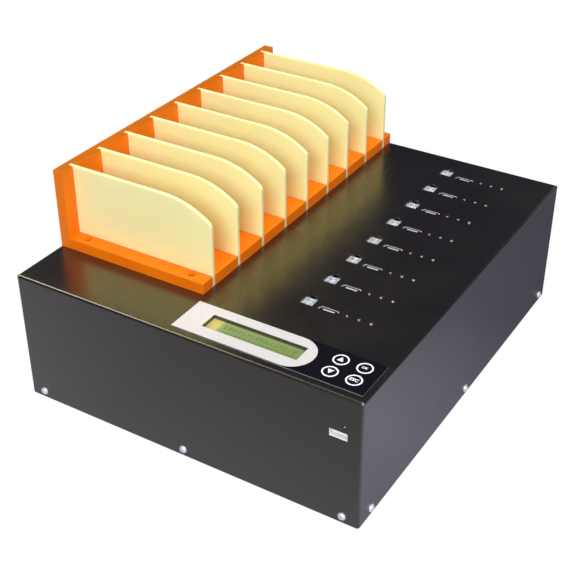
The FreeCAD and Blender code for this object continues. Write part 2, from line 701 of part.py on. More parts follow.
def pan_screw(owner, drawing, axis, sign, shank, head, head_tall, length):
    """A pan-head screw turned about a sketch axis, with its seat at the sketch's origin. The head
    lies towards `sign` along that axis."""
    profile = [("0", "%s * (-(%s))" % (sign, length)),
               ("(%s) / 2" % shank, "%s * (-(%s))" % (sign, length)),
               ("(%s) / 2" % shank, "0"),
               ("(%s) / 2" % head, "0"),
               ("(%s) / 2" % head, "%s * (%s) * 0.55" % (sign, head_tall)),
               ("(%s) * 0.36" % head, "%s * (%s)" % (sign, head_tall)),
               ("0", "%s * (%s)" % (sign, head_tall))]
    if axis == "H_Axis":
        profile = [(up, across) for across, up in profile]
    outline(drawing, profile)
    return turn(owner, drawing, axis)


def cover_screws():
    """Twelve screws, three in each wall, that hold the cover to the tray."""
    screws = body("cover_screws", several=True)
    shape = ("screw_across", "head_across", "head_tall", "screw_long")
    for back, sign in (("cover_front", "-1"), ("cover_rear", "1")):
        drawing = sketch(screws, "top", "cover_low + screw_up", "cover_left + screw_inset", back)
        screw = pan_screw(screws, drawing, "V_Axis", sign, *shape)
        repeat(screws, [screw], "across", "cover_wide / 2 - screw_inset", "3")
    for across, sign in (("cover_left", "-1"), ("cover_right", "1")):
        drawing = sketch(screws, "top", "cover_low + screw_up", across, "cover_front + side_inset")
        screw = pan_screw(screws, drawing, "H_Axis", sign, *shape)
        repeat(screws, [screw], "back", "(cover_deep - side_inset - screw_inset) / 2", "3")
    return screws


# ---------------------------------------------------------------------------------------------
# Drive rack
# ---------------------------------------------------------------------------------------------


def rack_wall():
    """Upright back wall of the rack, with a slot for each divider."""
    wall = body("rack_wall")
    drawing = sketch(wall, "top", "cover_top")
    rectangle(drawing, "rack_left", "wall_face", "rack_front", "rack_rear")
    plate = pad(wall, drawing, "wall_tall")
    DOC.recompute()
    box = plate.Shape.BoundBox
    rim = edges(plate, "back", up=[box.ZMax]) + edges(plate, "across", up=[box.ZMax])
    rim += edges(plate, "up", back=[box.YMin, box.YMax], across=[box.XMin])
    soften(wall, plate, rim, "rack_soft")
    drawing = sketch(wall, "top", "wall_top")
    rectangle(drawing, "wall_face - slot_deep", "wall_face + 1",
              "divider_first - slot_half", "divider_first + slot_half")
    slot = pocket(wall, drawing, "wall_tall - base_thick + groove_deep")
    repeat(wall, [slot], "back", "divider_pitch", "bay_count + 1")
    drawing = sketch(wall, "top", "cover_top")
    for bay in (0, 2, 5, 7):
        circle(drawing, "rack_left + wall_thick / 2", "row_first + %d * divider_pitch" % bay,
               "bolt_across + 2 * shaft_gap")
    pocket(wall, drawing, "wall_screw_deep + 1", along=True)
    return wall


def rack_base():
    """Base plate: a groove for each divider, sawn right through at the open edge."""
    base = body("rack_base")
    drawing = sketch(base, "top", "cover_top")
    rectangle(drawing, "wall_face", "rack_right", "rack_front", "rack_rear")
    plate = pad(base, drawing, "base_thick")
    DOC.recompute()
    box = plate.Shape.BoundBox
    rim = edges(plate, "back", up=[box.ZMax], across=[box.XMax])
    rim += edges(plate, "across", up=[box.ZMax])
    rim += edges(plate, "up", across=[box.XMax])
    soften(base, plate, rim, "rack_soft")
    drawing = sketch(base, "top", "base_top")
    rectangle(drawing, "wall_face - 1", "rack_right + 1", "divider_first - slot_half", "divider_first + slot_half")
    groove = pocket(base, drawing, "groove_deep")
    drawing = sketch(base, "top", "base_top")
    rectangle(drawing, "rack_right - kerf_long", "rack_right + 1",
              "divider_first - slot_half", "divider_first + slot_half")
    kerf = pocket(base, drawing, "base_thick + 1")
    repeat(base, [groove, kerf], "back", "divider_pitch", "bay_count + 1")
    for diameter, deep in (("bolt_head + 4 * fit_gap", "bolt_sink"), ("bolt_across + 2 * fit_gap", None)):
        drawing = sketch(base, "top", "base_top")
        for column in (0, 1):
            for row in (0, 1):
                circle(drawing, "rack_left + bolt_left + %d * bolt_step_across" % column,
                       "rack_front + bolt_inset + %d * bolt_step_back" % row, diameter)
        pocket(base, drawing, deep)
    return base


def divider(number):
    """One upright divider: level top, a long round nose, and a foot that drops into the open
    kerf of the base plate."""
    plate = body("divider_%d" % number, back="divider_first + %d * divider_pitch" % (number - 1))
    drawing = sketch(plate, "front", "-divider_thick / 2")
    nose_low = "wall_top - nose_round + sqrt(nose_round^2 - (rack_deep - nose_start)^2)"
    corners = [
        ("rack_right", "cover_top"), ("rack_right", nose_low), ("rack_left + nose_start", "wall_top"),
        ("wall_face - slot_deep", "wall_top"), ("wall_face - slot_deep", "base_top - groove_deep"),
        ("rack_right - kerf_long + fit_gap", "base_top - groove_deep"),
        ("rack_right - kerf_long + fit_gap", "cover_top"),
    ]
    bowed_outline(drawing, corners, 1, ("rack_left + nose_start", "wall_top - nose_round"))
    slab = pad(plate, drawing, "divider_thick")
    upper = [name for name in edges(slab, "back", across=[value("rack_right")])
             if slab.Shape.getElement(name).CenterOfMass.z > value("base_top")]
    soften(plate, slab, upper, "corner_round")
    return plate


def rack_fasteners():
    """Four bolts with nuts for the base plate, and four screws up into the back wall."""
    group = body("rack_fasteners", several=True)
    left, front = "rack_left + bolt_left", "rack_front + bolt_inset"
    bore = "base_top - bolt_sink"
    reach = "base_thick - bolt_sink + sheet_thick + nut_tall + 1"
    drawing = sketch(group, "front", "-(%s)" % front, left, bore)
    outline(drawing, [("0", "-(%s)" % reach), ("bolt_across / 2", "-(%s)" % reach), ("bolt_across / 2", "0"),
                      ("bolt_head / 2", "0"), ("bolt_head / 2", "bolt_head_tall"), ("0", "bolt_head_tall")])
    bolt = turn(group, drawing)
    drawing = sketch(group, "top", "ceiling")
    hexagon(drawing, left, front, "nut_flats")
    circle(drawing, left, front, "bolt_across + 2 * shaft_gap")
    nut = pad(group, drawing, "nut_tall", against=True)
    repeat(group, [bolt, nut], "across", "bolt_step_across", "2", "back", "bolt_step_back")
    drawing = sketch(group, "front", "-row_first", "rack_left + wall_thick / 2", "ceiling")
    screw = pan_screw(group, drawing, "V_Axis", "-1", "bolt_across", "bolt_head", "bolt_head_tall",
                      "wall_screw_deep + sheet_thick")
    repeat(group, [screw], "back", "2 * divider_pitch", "2", "back", "5 * divider_pitch")
    return group


# ---------------------------------------------------------------------------------------------
# Key panel
# ---------------------------------------------------------------------------------------------


def panel_overlay():
    """Printed film stuck on the lid, open at the display and at the keys."""
    film = body("panel_overlay")
    drawing = sketch(film, "top", "cover_top")
    rectangle(drawing, "film_left", "film_left + panel_wide", "film_front", "film_front + panel_deep")
    window(drawing)
    for _, across, back in key_places():
        circle(drawing, across, back, "key_across + 2 * key_side_gap")
    pad(film, drawing, "panel_thick")
    return film


def key(name, across, back):
    """Round key: a crowned cap, a collar that stays under the lid, and a plunger."""
    cap = body(name, across, back)
    drawing = sketch(cap, "front")
    low = "panel_board_top + switch_tall + key_travel + key_slack"
    outline(drawing, [
        ("0", low), ("key_stem / 2", low), ("key_stem / 2", "key_collar_top - key_flange_thick"),
        ("key_flange / 2", "key_collar_top - key_flange_thick"), ("key_flange / 2", "key_collar_top"),
        ("key_across / 2", "key_collar_top"), ("key_across / 2", "key_top - key_proud / 2"),
        ("key_across / 2 - key_proud / 2", "key_top"), ("0", "key_top"),
    ])
    turn(cap, drawing)
    return cap


def key_switches():
    """Four square push switches under the keys."""
    group = body("key_switches", several=True)
    drawing = sketch(group, "top", "panel_board_top")
    centred(drawing, "key_first_across", "key_first_back", "switch_side", "switch_side")
    switch = pad(group, drawing, "switch_tall")
    repeat(group, [switch], "across", "key_step_across", "2", "back", "key_step_back")
    return group


def panel_board():
    """Board that carries the display and the key switches."""
    board = body("panel_board")
    drawing = sketch(board, "top", "panel_board_top")
    rectangle(drawing, "film_left", "film_left + panel_wide", "film_front", "film_front + panel_deep")
    for across in ("film_left + post_inset", "film_left + panel_wide - post_inset"):
        for back in ("film_front + post_inset", "film_front + panel_deep - post_inset"):
            circle(drawing, across, back, "peg_across + 2 * fit_gap")
    pad(board, drawing, "board_thick", against=True)
    return board


def lcd_bezel():
    """Metal frame that clamps the display to its board."""
    bezel = body("lcd_bezel")
    drawing = sketch(bezel, "top", "panel_board_top")
    rectangle(drawing, "glass_left - lcd_edge", "glass_left + window_wide + lcd_edge",
              "glass_front - lcd_edge", "glass_front + window_deep + lcd_edge")
    pad(bezel, drawing, "panel_board_down - sheet_thick - fit_gap")
    drawing = sketch(bezel, "top", "panel_board_top")
    rectangle(drawing, "glass_left - glass_edge", "glass_left + window_wide + glass_edge",
              "glass_front - glass_edge", "glass_front + window_deep + glass_edge")
    pocket(bezel, drawing, "panel_board_down - lcd_sunk + fit_gap / 2", along=True)
    drawing = sketch(bezel, "top", "cover_top")
    window(drawing)
    pocket(bezel, drawing)
    return bezel


def lcd_cell():
    """Display glass on its light guide."""
    cell = body("lcd_cell")
    drawing = sketch(cell, "top", "panel_board_top")
    rectangle(drawing, "glass_left - glass_edge + fit_gap", "glass_left + window_wide + glass_edge - fit_gap",
              "glass_front - glass_edge + fit_gap", "glass_front + window_deep + glass_edge - fit_gap")
    pad(cell, drawing, "panel_board_down - lcd_sunk")
    return cell


# ---------------------------------------------------------------------------------------------
# Port rows
# ---------------------------------------------------------------------------------------------


def wells(drawing, side):
    """Four squares at a header's contacts, about the body's origin."""
    for column in (-1, 1):
        for row in (-1, 1):
            centred(drawing, "%d * header_pitch / 2" % column, "%d * header_pitch / 2" % row, side, side)


def power_header(number):
    """Four-way power header: a well for each contact, and a latch nub at its rear."""
    header = body("power_header_%d" % number, "header_middle",
                  "row_first + header_back + %d * divider_pitch" % (number - 1), "port_board_top")
    drawing = sketch(header, "top")
    centred(drawing, "0", "0", "header_side", "header_side")
    pad(header, drawing, "header_tall")
    drawing = sketch(header, "top", "header_tall")
    wells(drawing, "cavity_side")
    pocket(header, drawing, "cavity_deep")
    drawing = sketch(header, "top")
    wells(drawing, "pin_side + 2 * shaft_gap")
    pocket(header, drawing, along=True)
    drawing = sketch(header, "side", "-latch_wide / 2 + fit_gap")
    rear = "header_side / 2"
    top = "header_tall - 2 * sheet_thick"
    outline(drawing, [(rear, top + " - 2.4"), (rear + " + 0.9", top + " - 0.9"),
                      (rear + " + 0.9", top), (rear, top)])
    pad(header, drawing, "latch_wide - 2 * fit_gap")
    return header


def header_pins():
    """Thirty-two square contact pins, from under the board up into the headers' wells."""
    pins = body("header_pins", "header_middle", "row_first + header_back",
                "port_board_top - board_thick - pin_tail", several=True)
    drawing = sketch(pins, "top")
    wells(drawing, "pin_side")
    four = pad(pins, drawing, "pin_tail + board_thick + pin_tall")
    repeat(pins, [four], "back", "divider_pitch", "bay_count")
    return pins


def data_shell(number):
    """Metal shell of one data port, standing on the port board."""
    shell = body("data_shell_%d" % number, "port_middle",
                 "row_first + port_back + %d * divider_pitch" % (number - 1), "port_board_top")
    drawing = sketch(shell, "top")
    port_outline(drawing, "0", "0", "0")
    port_outline(drawing, "0", "0", "-port_wall")
    pad(shell, drawing, "header_tall + header_sunk - port_sunk")
    return shell


def data_tongues():
    """Plastic floor and contact tongue in each data port."""
    tongues = body("data_tongues", "port_middle", "row_first + port_back", "port_board_top", several=True)
    drawing = sketch(tongues, "top")
    port_outline(drawing, "0", "0", "-port_wall - shaft_gap")
    foot = pad(tongues, drawing, "tongue_foot")
    drawing = sketch(tongues, "top")
    centred(drawing, "0", "0", "tongue_wide", "tongue_thick")
    tongue = pad(tongues, drawing, "header_tall + header_sunk - port_sunk - tongue_sunk")
    repeat(tongues, [foot, tongue], "back", "divider_pitch", "bay_count")
    return tongues


def lamp_profile(drawing):
    """Half section of a round lamp about the sketch's upright axis, with its dome up and the
    outside of the sheet it looks through at the sketch's origin."""
    collar = "(-sheet_thick - fit_gap)"
    corners = [
        ("0", collar + " - led_collar_tall"), ("led_collar / 2", collar + " - led_collar_tall"),
        ("led_collar / 2", collar), ("led_across / 2", collar),
        ("led_across / 2", "led_proud - led_across / 2"), ("0", "led_proud"),
    ]
    bowed_outline(drawing, corners, 4, ("0", "led_proud - led_across / 2"))


def row_lamps(name, lamp, front_lamp=False):
    """One lamp per row on two leads. The green ones share their node with the front lamp."""
    group = body(name, several=True)
    across = "led_first + %d * led_step" % lamp
    drawing = sketch(group, "front", "-row_first", across, "cover_top")
    lamp_profile(drawing)
    dome = turn(group, drawing)
    drawing = sketch(group, "top", "port_board_top")
    for side in (-1, 1):
        centred(drawing, "%s + %d * lead_pitch / 2" % (across, side), "row_first", "lead_side", "lead_side")
    leads = pad(group, drawing, "header_tall + header_sunk - sheet_thick - fit_gap - led_collar_tall / 2")
    repeat(group, [dome, leads], "back", "divider_pitch", "bay_count")
    if front_lamp:
        # the same lamp lying down, looking out through the front wall
        drawing = sketch(group, "top", "cover_top - lamp_down", "cover_right - lamp_right", "cover_front")
        drawing.setExpression("AttachmentOffset.Rotation.Angle", "180")
        lamp_profile(drawing)
        turn(group, drawing)
        drawing = sketch(group, "front", "-usb_board_face")
        for side in (-1, 1):
            centred(drawing, "cover_right - lamp_right + %d * lead_pitch / 2" % side,
                    "cover_top - lamp_down", "lead_side", "lead_side")
        pad(group, drawing, "usb_deep - sheet_thick - fit_gap - led_collar_tall / 2")
    return group


def port_posts():
    """The middles of the six posts that hang the port board from the lid."""
    for across in ("board_left + post_inset", "board_left + port_board_wide - post_inset"):
        for back in ("board_front + post_inset", "board_front + board_long / 2",
                     "board_front + board_long - post_inset"):
            yield across, back


def port_board():
    """Long board under the port rows."""
    board = body("port_board")
    drawing = sketch(board, "top", "port_board_top")
    rectangle(drawing, "board_left", "board_left + port_board_wide", "board_front", "board_front + board_long")
    for across, back in port_posts():
        circle(drawing, across, back, "peg_across + 2 * fit_gap")
    pad(board, drawing, "board_thick", against=True)
    drawing = sketch(board, "top", "port_board_top")
    for column in (-1, 1):
        for row in (-1, 1):
            centred(drawing, "header_middle + %d * header_pitch / 2" % column,
                    "row_first + header_back + %d * header_pitch / 2" % row,
                    "pin_side + 2 * shaft_gap", "pin_side + 2 * shaft_gap")
    holes = pocket(board, drawing, "board_thick")
    repeat(board, [holes], "back", "divider_pitch", "bay_count")
    return board


# ---------------------------------------------------------------------------------------------
# Front socket
# ---------------------------------------------------------------------------------------------


def usb_shell():
    """Folded shell of the front USB socket, flush with the front wall."""
    shell = body("usb_shell", "usb_middle", "cover_front", "usb_level")
    drawing = sketch(shell, "front")
    centred(drawing, "0", "0", "usb_wide", "usb_tall")
    centred(drawing, "0", "0", "usb_wide - 2 * usb_wall", "usb_tall - 2 * usb_wall")
    pad(shell, drawing, "usb_deep", against=True)
    return shell


def usb_tongue():
    """Plastic back and contact tongue of the USB socket."""
    tongue = body("usb_tongue", "usb_middle", "cover_front", "usb_level")
    drawing = sketch(tongue, "front", "-usb_deep")
    centred(drawing, "0", "0", "usb_wide - 2 * usb_wall - 2 * shaft_gap", "usb_tall - 2 * usb_wall - 2 * shaft_gap")
    pad(tongue, drawing, "2.2")
    drawing = sketch(tongue, "front", "-usb_deep")
    centred(drawing, "0", "usb_tongue_down", "usb_tongue_wide", "usb_tongue_thick")
    pad(tongue, drawing, "usb_deep - 1.2")
    return tongue


def usb_board():
    """Small upright board behind the front wall, with the USB socket and the front lamp."""
    board = body("usb_board")
    drawing = sketch(board, "front", "-usb_board_face")
    centred(drawing, "usb_middle", "usb_level", "usb_board_wide", "usb_board_tall")
    for sign in (-1, 1):
        circle(drawing, "usb_middle - usb_board_wide / 2 + post_inset",
               "usb_level + %d * (usb_board_tall / 2 - post_inset)" % sign, "peg_across + 2 * fit_gap")
    pad(board, drawing, "board_thick", against=True)
    return board


# ---------------------------------------------------------------------------------------------
# Rear: fan and mains inlet
# ---------------------------------------------------------------------------------------------


def fan_frame():
    """Square fan frame: two flanges joined by a tube, and spokes that carry the bearing tube."""
    frame = body("fan_frame", "fan_middle", "rear_inside", "fan_level")
    half = "fan_side / 2"
    for lift in ("0", "fan_deep - fan_flange"):
        drawing = sketch(frame, "front", lift)
        rectangle(drawing, "-" + half, half, "-" + half, half)
        pad(frame, drawing, "fan_flange")
        if lift == "0":
            drawing = sketch(frame, "front")
            circle(drawing, "0", "0", "fan_side")
            pad(frame, drawing, "fan_deep")
    drawing = sketch(frame, "front", "fan_deep")
    circle(drawing, "0", "0", "fan_bore")
    for column in (-1, 1):
        for row in (-1, 1):
            circle(drawing, "%d * fan_hole_pitch / 2" % column, "%d * fan_hole_pitch / 2" % row,
                   "fan_screw + 2 * fit_gap")
    pocket(frame, drawing)
    drawing = sketch(frame, "front")
    rectangle(drawing, "-spoke_wide / 2", "spoke_wide / 2", "0", "fan_bore / 2 + fan_tip_gap")
    spoke = pad(frame, drawing, "spoke_thick")
    around(frame, [spoke], "back", "4")
    drawing = sketch(frame, "front")
    circle(drawing, "0", "0", "fan_hub")
    pad(frame, drawing, "spoke_thick")
    drawing = sketch(frame, "front")
    circle(drawing, "0", "0", "tube_across")
    pad(frame, drawing, "spoke_thick + tube_long")
    drawing = sketch(frame, "front", "spoke_thick + tube_long")
    circle(drawing, "0", "0", "shaft_across + 2 * shaft_gap")
    pocket(frame, drawing, "tube_long + spoke_thick / 2")
    return frame


def fan_rotor():
    """Seven slanted blades around a hub cup, with the shaft inside it."""
    rotor = body("fan_rotor", "fan_middle", "spoke_front - fan_end_gap", "fan_level")
    drawing = sketch(rotor, "front")
    circle(drawing, "0", "0", "fan_hub")
    pad(rotor, drawing, "fan_hub_deep")
    drawing = sketch(rotor, "front")
    circle(drawing, "0", "0", "fan_hub - 4")
    pocket(rotor, drawing, "fan_hub_deep - 2", along=True)
    drawing = sketch(rotor, "front", "-fan_end_gap")
    circle(drawing, "0", "0", "shaft_across")
    pad(rotor, drawing, "fan_hub_deep + fan_end_gap - 1")
    sections = []
    middle = "(-fan_hub_deep / 2)"
    tip = "sqrt((fan_bore / 2 - fan_tip_gap)^2 - (blade_tip_sweep / 2 + blade_thick)^2)"
    for lift, sweep in (("fan_hub / 2 - 1", "blade_root_sweep"), (tip, "blade_tip_sweep")):
        drawing = sketch(rotor, "top", lift)
        outline(drawing, [
            ("-%s / 2" % sweep, middle + " - blade_deep / 2"),
            ("-%s / 2 + blade_thick" % sweep, middle + " - blade_deep / 2"),
            ("%s / 2" % sweep, middle + " + blade_deep / 2"),
            ("%s / 2 - blade_thick" % sweep, middle + " + blade_deep / 2"),
        ])
        sections.append(drawing)
    blade = rotor.newObject("PartDesign::AdditiveLoft", "Blade")
    blade.Profile = sections[0]
    blade.Sections = [sections[1]]
    blade.Ruled = True
    around(rotor, [blade], "back", "blade_count")
    return rotor


def fan_guard():
    """Wire finger guard: rings on a cross, with an eye at each fan screw."""
    guard = body("fan_guard", "fan_middle", "cover_rear", "fan_level")
    arms = sketch(guard, "front")
    for sign in (-1, 1):
        # each bar runs from eye to eye, along a diagonal of the fan
        reach = "fan_hole_pitch / 2"
        side = "guard_wire / 2 / sqrt(2)"
        outline(arms, [
            ("-%s - %s" % (reach, side), "%d * (-%s + %s)" % (sign, reach, side)),
            ("-%s + %s" % (reach, side), "%d * (-%s - %s)" % (sign, reach, side)),
            ("%s + %s" % (reach, side), "%d * (%s - %s)" % (sign, reach, side)),
            ("%s - %s" % (reach, side), "%d * (%s + %s)" % (sign, reach, side)),
        ])
        pad(guard, arms, "guard_wire", against=True)
        arms = sketch(guard, "front")
    for column in (-1, 1):
        for row in (-1, 1):
            circle(arms, "%d * fan_hole_pitch / 2" % column, "%d * fan_hole_pitch / 2" % row, "guard_eye")
    pad(guard, arms, "guard_wire", against=True)
    drawing = sketch(guard, "side")
    for ring in range(4):
        centred(drawing, "guard_wire * 1.5", "guard_ring / 2 + %d * guard_step" % ring,
                "guard_wire", "guard_wire")
    turn(guard, drawing, "H_Axis")
    drawing = sketch(guard, "front")
    for column in (-1, 1):
        for row in (-1, 1):
            circle(drawing, "%d * fan_hole_pitch / 2" % column, "%d * fan_hole_pitch / 2" % row,
                   "fan_screw + 2 * fit_gap")
    pocket(guard, drawing, "2 * guard_wire")
    return guard


def fan_screws():
    """Four screws through the guard's eyes and the rear wall into the fan's frame."""
    screws = body("fan_screws", several=True)
    drawing = sketch(screws, "top", "fan_level - fan_hole_pitch / 2",
                     "fan_middle - fan_hole_pitch / 2", "cover_rear + guard_wire")
    screw = pan_screw(screws, drawing, "V_Axis", "1", "fan_screw", "fan_screw_head", "fan_screw_head_tall",
                      "fan_screw_long")
    repeat(screws, [screw], "across", "fan_hole_pitch", "2", "up", "fan_hole_pitch")
    return screws


def mains_pin_places():
    """The middles of the earth pin and the other two, seen in the inlet's own frame."""
    level = "(-socket_down)"
    yield "0", level + " + blade_pin_rise / 2"
    yield "-blade_pin_pitch / 2", level + " - blade_pin_rise / 2"
    yield "blade_pin_pitch / 2", level + " - blade_pin_rise / 2"


def inlet_housing():
    """Snap-in mains inlet: a flange, a well for the plug, and a well with pivots for the rocker."""
    housing = body("inlet_housing", "inlet_middle", "cover_rear", "inlet_level")
    drawing = sketch(housing, "front")
    centred(drawing, "0", "0", "inlet_wide", "inlet_tall")
    pad(housing, drawing, "inlet_deep")
    drawing = sketch(housing, "front")
    centred(drawing, "0", "0", "inlet_wide + 2 * inlet_lip", "inlet_tall + 2 * inlet_lip")
    lip = pad(housing, drawing, "inlet_lip_thick", against=True)
    DOC.recompute()
    box = lip.Shape.BoundBox
    soften(housing, lip, edges(lip, "back", across=[box.XMin, box.XMax]), "inlet_lip")
    # well for the plug, with its two upper corners cut
    drawing = sketch(housing, "front", "-inlet_lip_thick")
    wide, tall, level = "socket_wide / 2", "socket_tall / 2", "(-socket_down)"
    outline(drawing, [
        ("-" + wide, "%s - %s" % (level, tall)),
        (wide, "%s - %s" % (level, tall)),
        (wide, "%s + %s - socket_corner" % (level, tall)),
        (wide + " - socket_corner", "%s + %s" % (level, tall)),
        ("-" + wide + " + socket_corner", "%s + %s" % (level, tall)),
        ("-" + wide, "%s + %s - socket_corner" % (level, tall)),
    ])
    pocket(housing, drawing, "socket_deep", along=True)
    drawing = sketch(housing, "front", "-inlet_lip_thick")
    for across, up in mains_pin_places():
        centred(drawing, across, up, "blade_pin_wide + 2 * shaft_gap", "blade_pin_tall + 2 * shaft_gap")
    pocket(housing, drawing, along=True)
    # well for the rocker, and the two bores for its pivot
    drawing = sketch(housing, "front", "-inlet_lip_thick")
    centred(drawing, "0", "rocker_up", "rocker_wide + 2 * rocker_end_gap", "rocker_tall + 2 * rocker_side_gap")
    pocket(housing, drawing, "rocker_dip + rocker_belly + 3", along=True)
    drawing = sketch(housing, "top", "rocker_up - rocker_tall / 2 - rocker_side_gap - rocker_pin_long - 0.2",
                     "0", "inlet_lip_thick - rocker_dip")
    circle(drawing, "0", "0", "rocker_pin + 2 * shaft_gap")
    pocket(housing, drawing, "rocker_tall + 2 * rocker_side_gap + 2 * rocker_pin_long + 0.4", along=True)
    return housing


def inlet_pins():
    """Three flat mains pins, with tails behind the housing."""
    pins = body("inlet_pins", "inlet_middle", "cover_rear", "inlet_level", several=True)
    drawing = sketch(pins, "front", "inlet_deep + blade_pin_tail")
    for across, up in mains_pin_places():
        centred(drawing, across, up, "blade_pin_wide", "blade_pin_tall")
    pad(pins, drawing, "inlet_deep + blade_pin_tail + inlet_lip_thick - socket_deep + blade_pin_long",
        against=True)
    return pins


def power_rocker():
    """Rocker of the mains switch, resting with its right end pressed in."""
    rocker = body("power_rocker", "inlet_middle", "rocker_pivot", "rocker_level")
    rocker.setExpression("Placement.Rotation.Angle", formula("-rocker_tilt"))
    drawing = sketch(rocker, "top", "-rocker_tall / 2")
    half = "rocker_wide / 2"
    outline(drawing, [
        ("-" + half, "rocker_rise"), ("-" + half, "0"), ("-rocker_pin", "-rocker_belly"),
        ("rocker_pin", "-rocker_belly"), (half, "0"), (half, "rocker_rise"), ("0", "rocker_dip"),
    ])
    pad(rocker, drawing, "rocker_tall")
    drawing = sketch(rocker, "top", "-rocker_tall / 2 - rocker_pin_long")
    circle(drawing, "0", "0", "rocker_pin")
    pad(rocker, drawing, "rocker_tall + 2 * rocker_pin_long")
    return rocker


# ---------------------------------------------------------------------------------------------
# Inside the box
# ---------------------------------------------------------------------------------------------


def board_spacers():
    """Posts that hold the four boards, each with a peg through its board."""
    posts = body("board_spacers", several=True)
    hung = [("panel_board_top", [(across, back)
                                 for across in ("film_left + post_inset", "film_left + panel_wide - post_inset")
                                 for back in ("film_front + post_inset", "film_front + panel_deep - post_inset")]),
            ("port_board_top", list(port_posts()))]
    for level, places in hung:
        drawing = sketch(posts, "top", level)
        for across, back in places:
            hexagon(drawing, across, back, "post_across")
        pad(posts, drawing, "ceiling - " + level)
        drawing = sketch(posts, "top", level)
        for across, back in places:
            circle(drawing, across, back, "peg_across")
        pad(posts, drawing, "board_thick + peg_long", against=True)
    corners = [(across, back) for across in ("main_left + post_inset", "main_left + main_board_wide - post_inset")
               for back in ("main_front + post_inset", "main_front + main_board_deep - post_inset")]
    drawing = sketch(posts, "top", "tray_top")
    for across, back in corners:
        hexagon(drawing, across, back, "post_across")
    pad(posts, drawing, "main_board_up")
    drawing = sketch(posts, "top", "tray_top")
    for across, back in corners:
        circle(drawing, across, back, "peg_across")
    pad(posts, drawing, "main_board_up + board_thick + peg_long")
    front_posts = [("usb_middle - usb_board_wide / 2 + post_inset",
                    "usb_level + %d * (usb_board_tall / 2 - post_inset)" % sign) for sign in (-1, 1)]
    drawing = sketch(posts, "front", "-usb_board_face")
    for across, up in front_posts:
        hexagon(drawing, across, up, "post_across")
    pad(posts, drawing, "usb_deep - sheet_thick")
    drawing = sketch(posts, "front", "-usb_board_face")
    for across, up in front_posts:
        circle(drawing, across, up, "peg_across")
    pad(posts, drawing, "board_thick + peg_long", against=True)
    return posts


def main_board():
    """Controller board: a finned heat sink, memory chips and a row of plugs to the port board."""
    board = body("main_board", "main_left", "main_front", "main_board_face")
    drawing = sketch(board, "top")
    rectangle(drawing, "0", "main_board_wide", "0", "main_board_deep")
    for across in ("post_inset", "main_board_wide - post_inset"):
        for back in ("post_inset", "main_board_deep - post_inset"):
            circle(drawing, across, back, "peg_across + 2 * fit_gap")
    pad(board, drawing, "board_thick")
    middle = ("main_board_wide * 0.42", "main_board_deep / 2")
    drawing = sketch(board, "top", "board_thick")
    centred(drawing, middle[0], middle[1], "sink_side", "sink_side")
    pad(board, drawing, "sink_base")
    drawing = sketch(board, "top", "board_thick")
    centred(drawing, middle[0] + " - sink_side / 2 + sink_fin / 2", middle[1], "sink_fin", "sink_side")
    fin = pad(board, drawing, "sink_tall")
    repeat(board, [fin], "across", "sink_step", "floor((sink_side - sink_fin) / sink_step) + 1")
    drawing = sketch(board, "top", "board_thick")
    centred(drawing, "main_board_wide * 0.2", "main_board_deep * 0.25", "14", "10")
    chip = pad(board, drawing, "1.2")
    repeat(board, [chip], "back", "main_board_deep / 6", "4")
    drawing = sketch(board, "top", "board_thick")
    centred(drawing, "main_board_wide - 12", "20", "8", "7")
    plug = pad(board, drawing, "9")
    repeat(board, [plug], "back", "(main_board_deep - 40) / (bay_count - 1)", "bay_count")
    return board


def power_supply():
    """Closed power supply on the tray, with pressed air slots in its lid."""
    supply = body("power_supply")
    left, right = "cover_right - supply_right - supply_wide", "cover_right - supply_right"
    drawing = sketch(supply, "top", "tray_top")
    rectangle(drawing, left, right, "supply_front", "supply_rear")
    pad(supply, drawing, "supply_tall")
    drawing = sketch(supply, "top", "tray_top + supply_tall")
    centred(drawing, "cover_right - supply_right - supply_wide / 2", "supply_front + vent_step * 5",
            "supply_wide * 0.6", "vent_wide")
    slot = pocket(supply, drawing, "sheet_thick")
    repeat(supply, [slot], "back", "vent_step", "vent_count")
    return supply


# ---------------------------------------------------------------------------------------------
# The whole
# ---------------------------------------------------------------------------------------------


def build():
    make_sheets()
    bays = range(1, int(value("bay_count")) + 1)
    parts = [top_cover(), bottom_tray(), rubber_feet(), cover_screws(), rack_wall(), rack_base()]
    parts += [divider(number) for number in range(1, len(bays) + 2)]
    parts += [rack_fasteners(), panel_overlay()]
    parts += [key(*place) for place in key_places()]
    parts += [key_switches(), panel_board(), lcd_bezel(), lcd_cell()]
    parts += [power_header(number) for number in bays]
    parts += [data_shell(number) for number in bays]
    parts += [header_pins(), data_tongues()]
    parts += [row_lamps("red_leds", 0), row_lamps("green_leds", 1, front_lamp=True), row_lamps("yellow_leds", 2)]
    parts += [port_board(), usb_shell(), usb_tongue(), usb_board(), fan_frame(), fan_rotor(), fan_guard()]
    parts += [fan_screws(), inlet_housing(), inlet_pins(), power_rocker()]
    parts += [board_spacers(), main_board(), power_supply()]
    DOC.recompute()
    return parts


def check(parts):
    """Stop if any object failed, any shape is unsound, or any feature left its body unchanged."""
    faults = ["%s failed: %s" % (item.Label, item.State) for item in DOC.Objects
              if "Invalid" in item.State or "Error" in item.State]
    for part in parts:
        if part.Shape.isNull() or not part.Shape.isValid() or not part.Shape.Solids:
            faults.append(part.Label + " has no sound solid")
        for feature in part.Group:
            earlier = getattr(feature, "BaseFeature", None)
            if earlier is None:
                continue
            if feature.Shape.isNull():
                faults.append("%s of %s is empty" % (feature.Name, part.Label))
            elif abs(feature.Shape.Volume - earlier.Shape.Volume) < 1e-6:
                faults.append("%s of %s changes nothing" % (feature.Name, part.Label))
    if faults:
        raise RuntimeError("; ".join(faults))


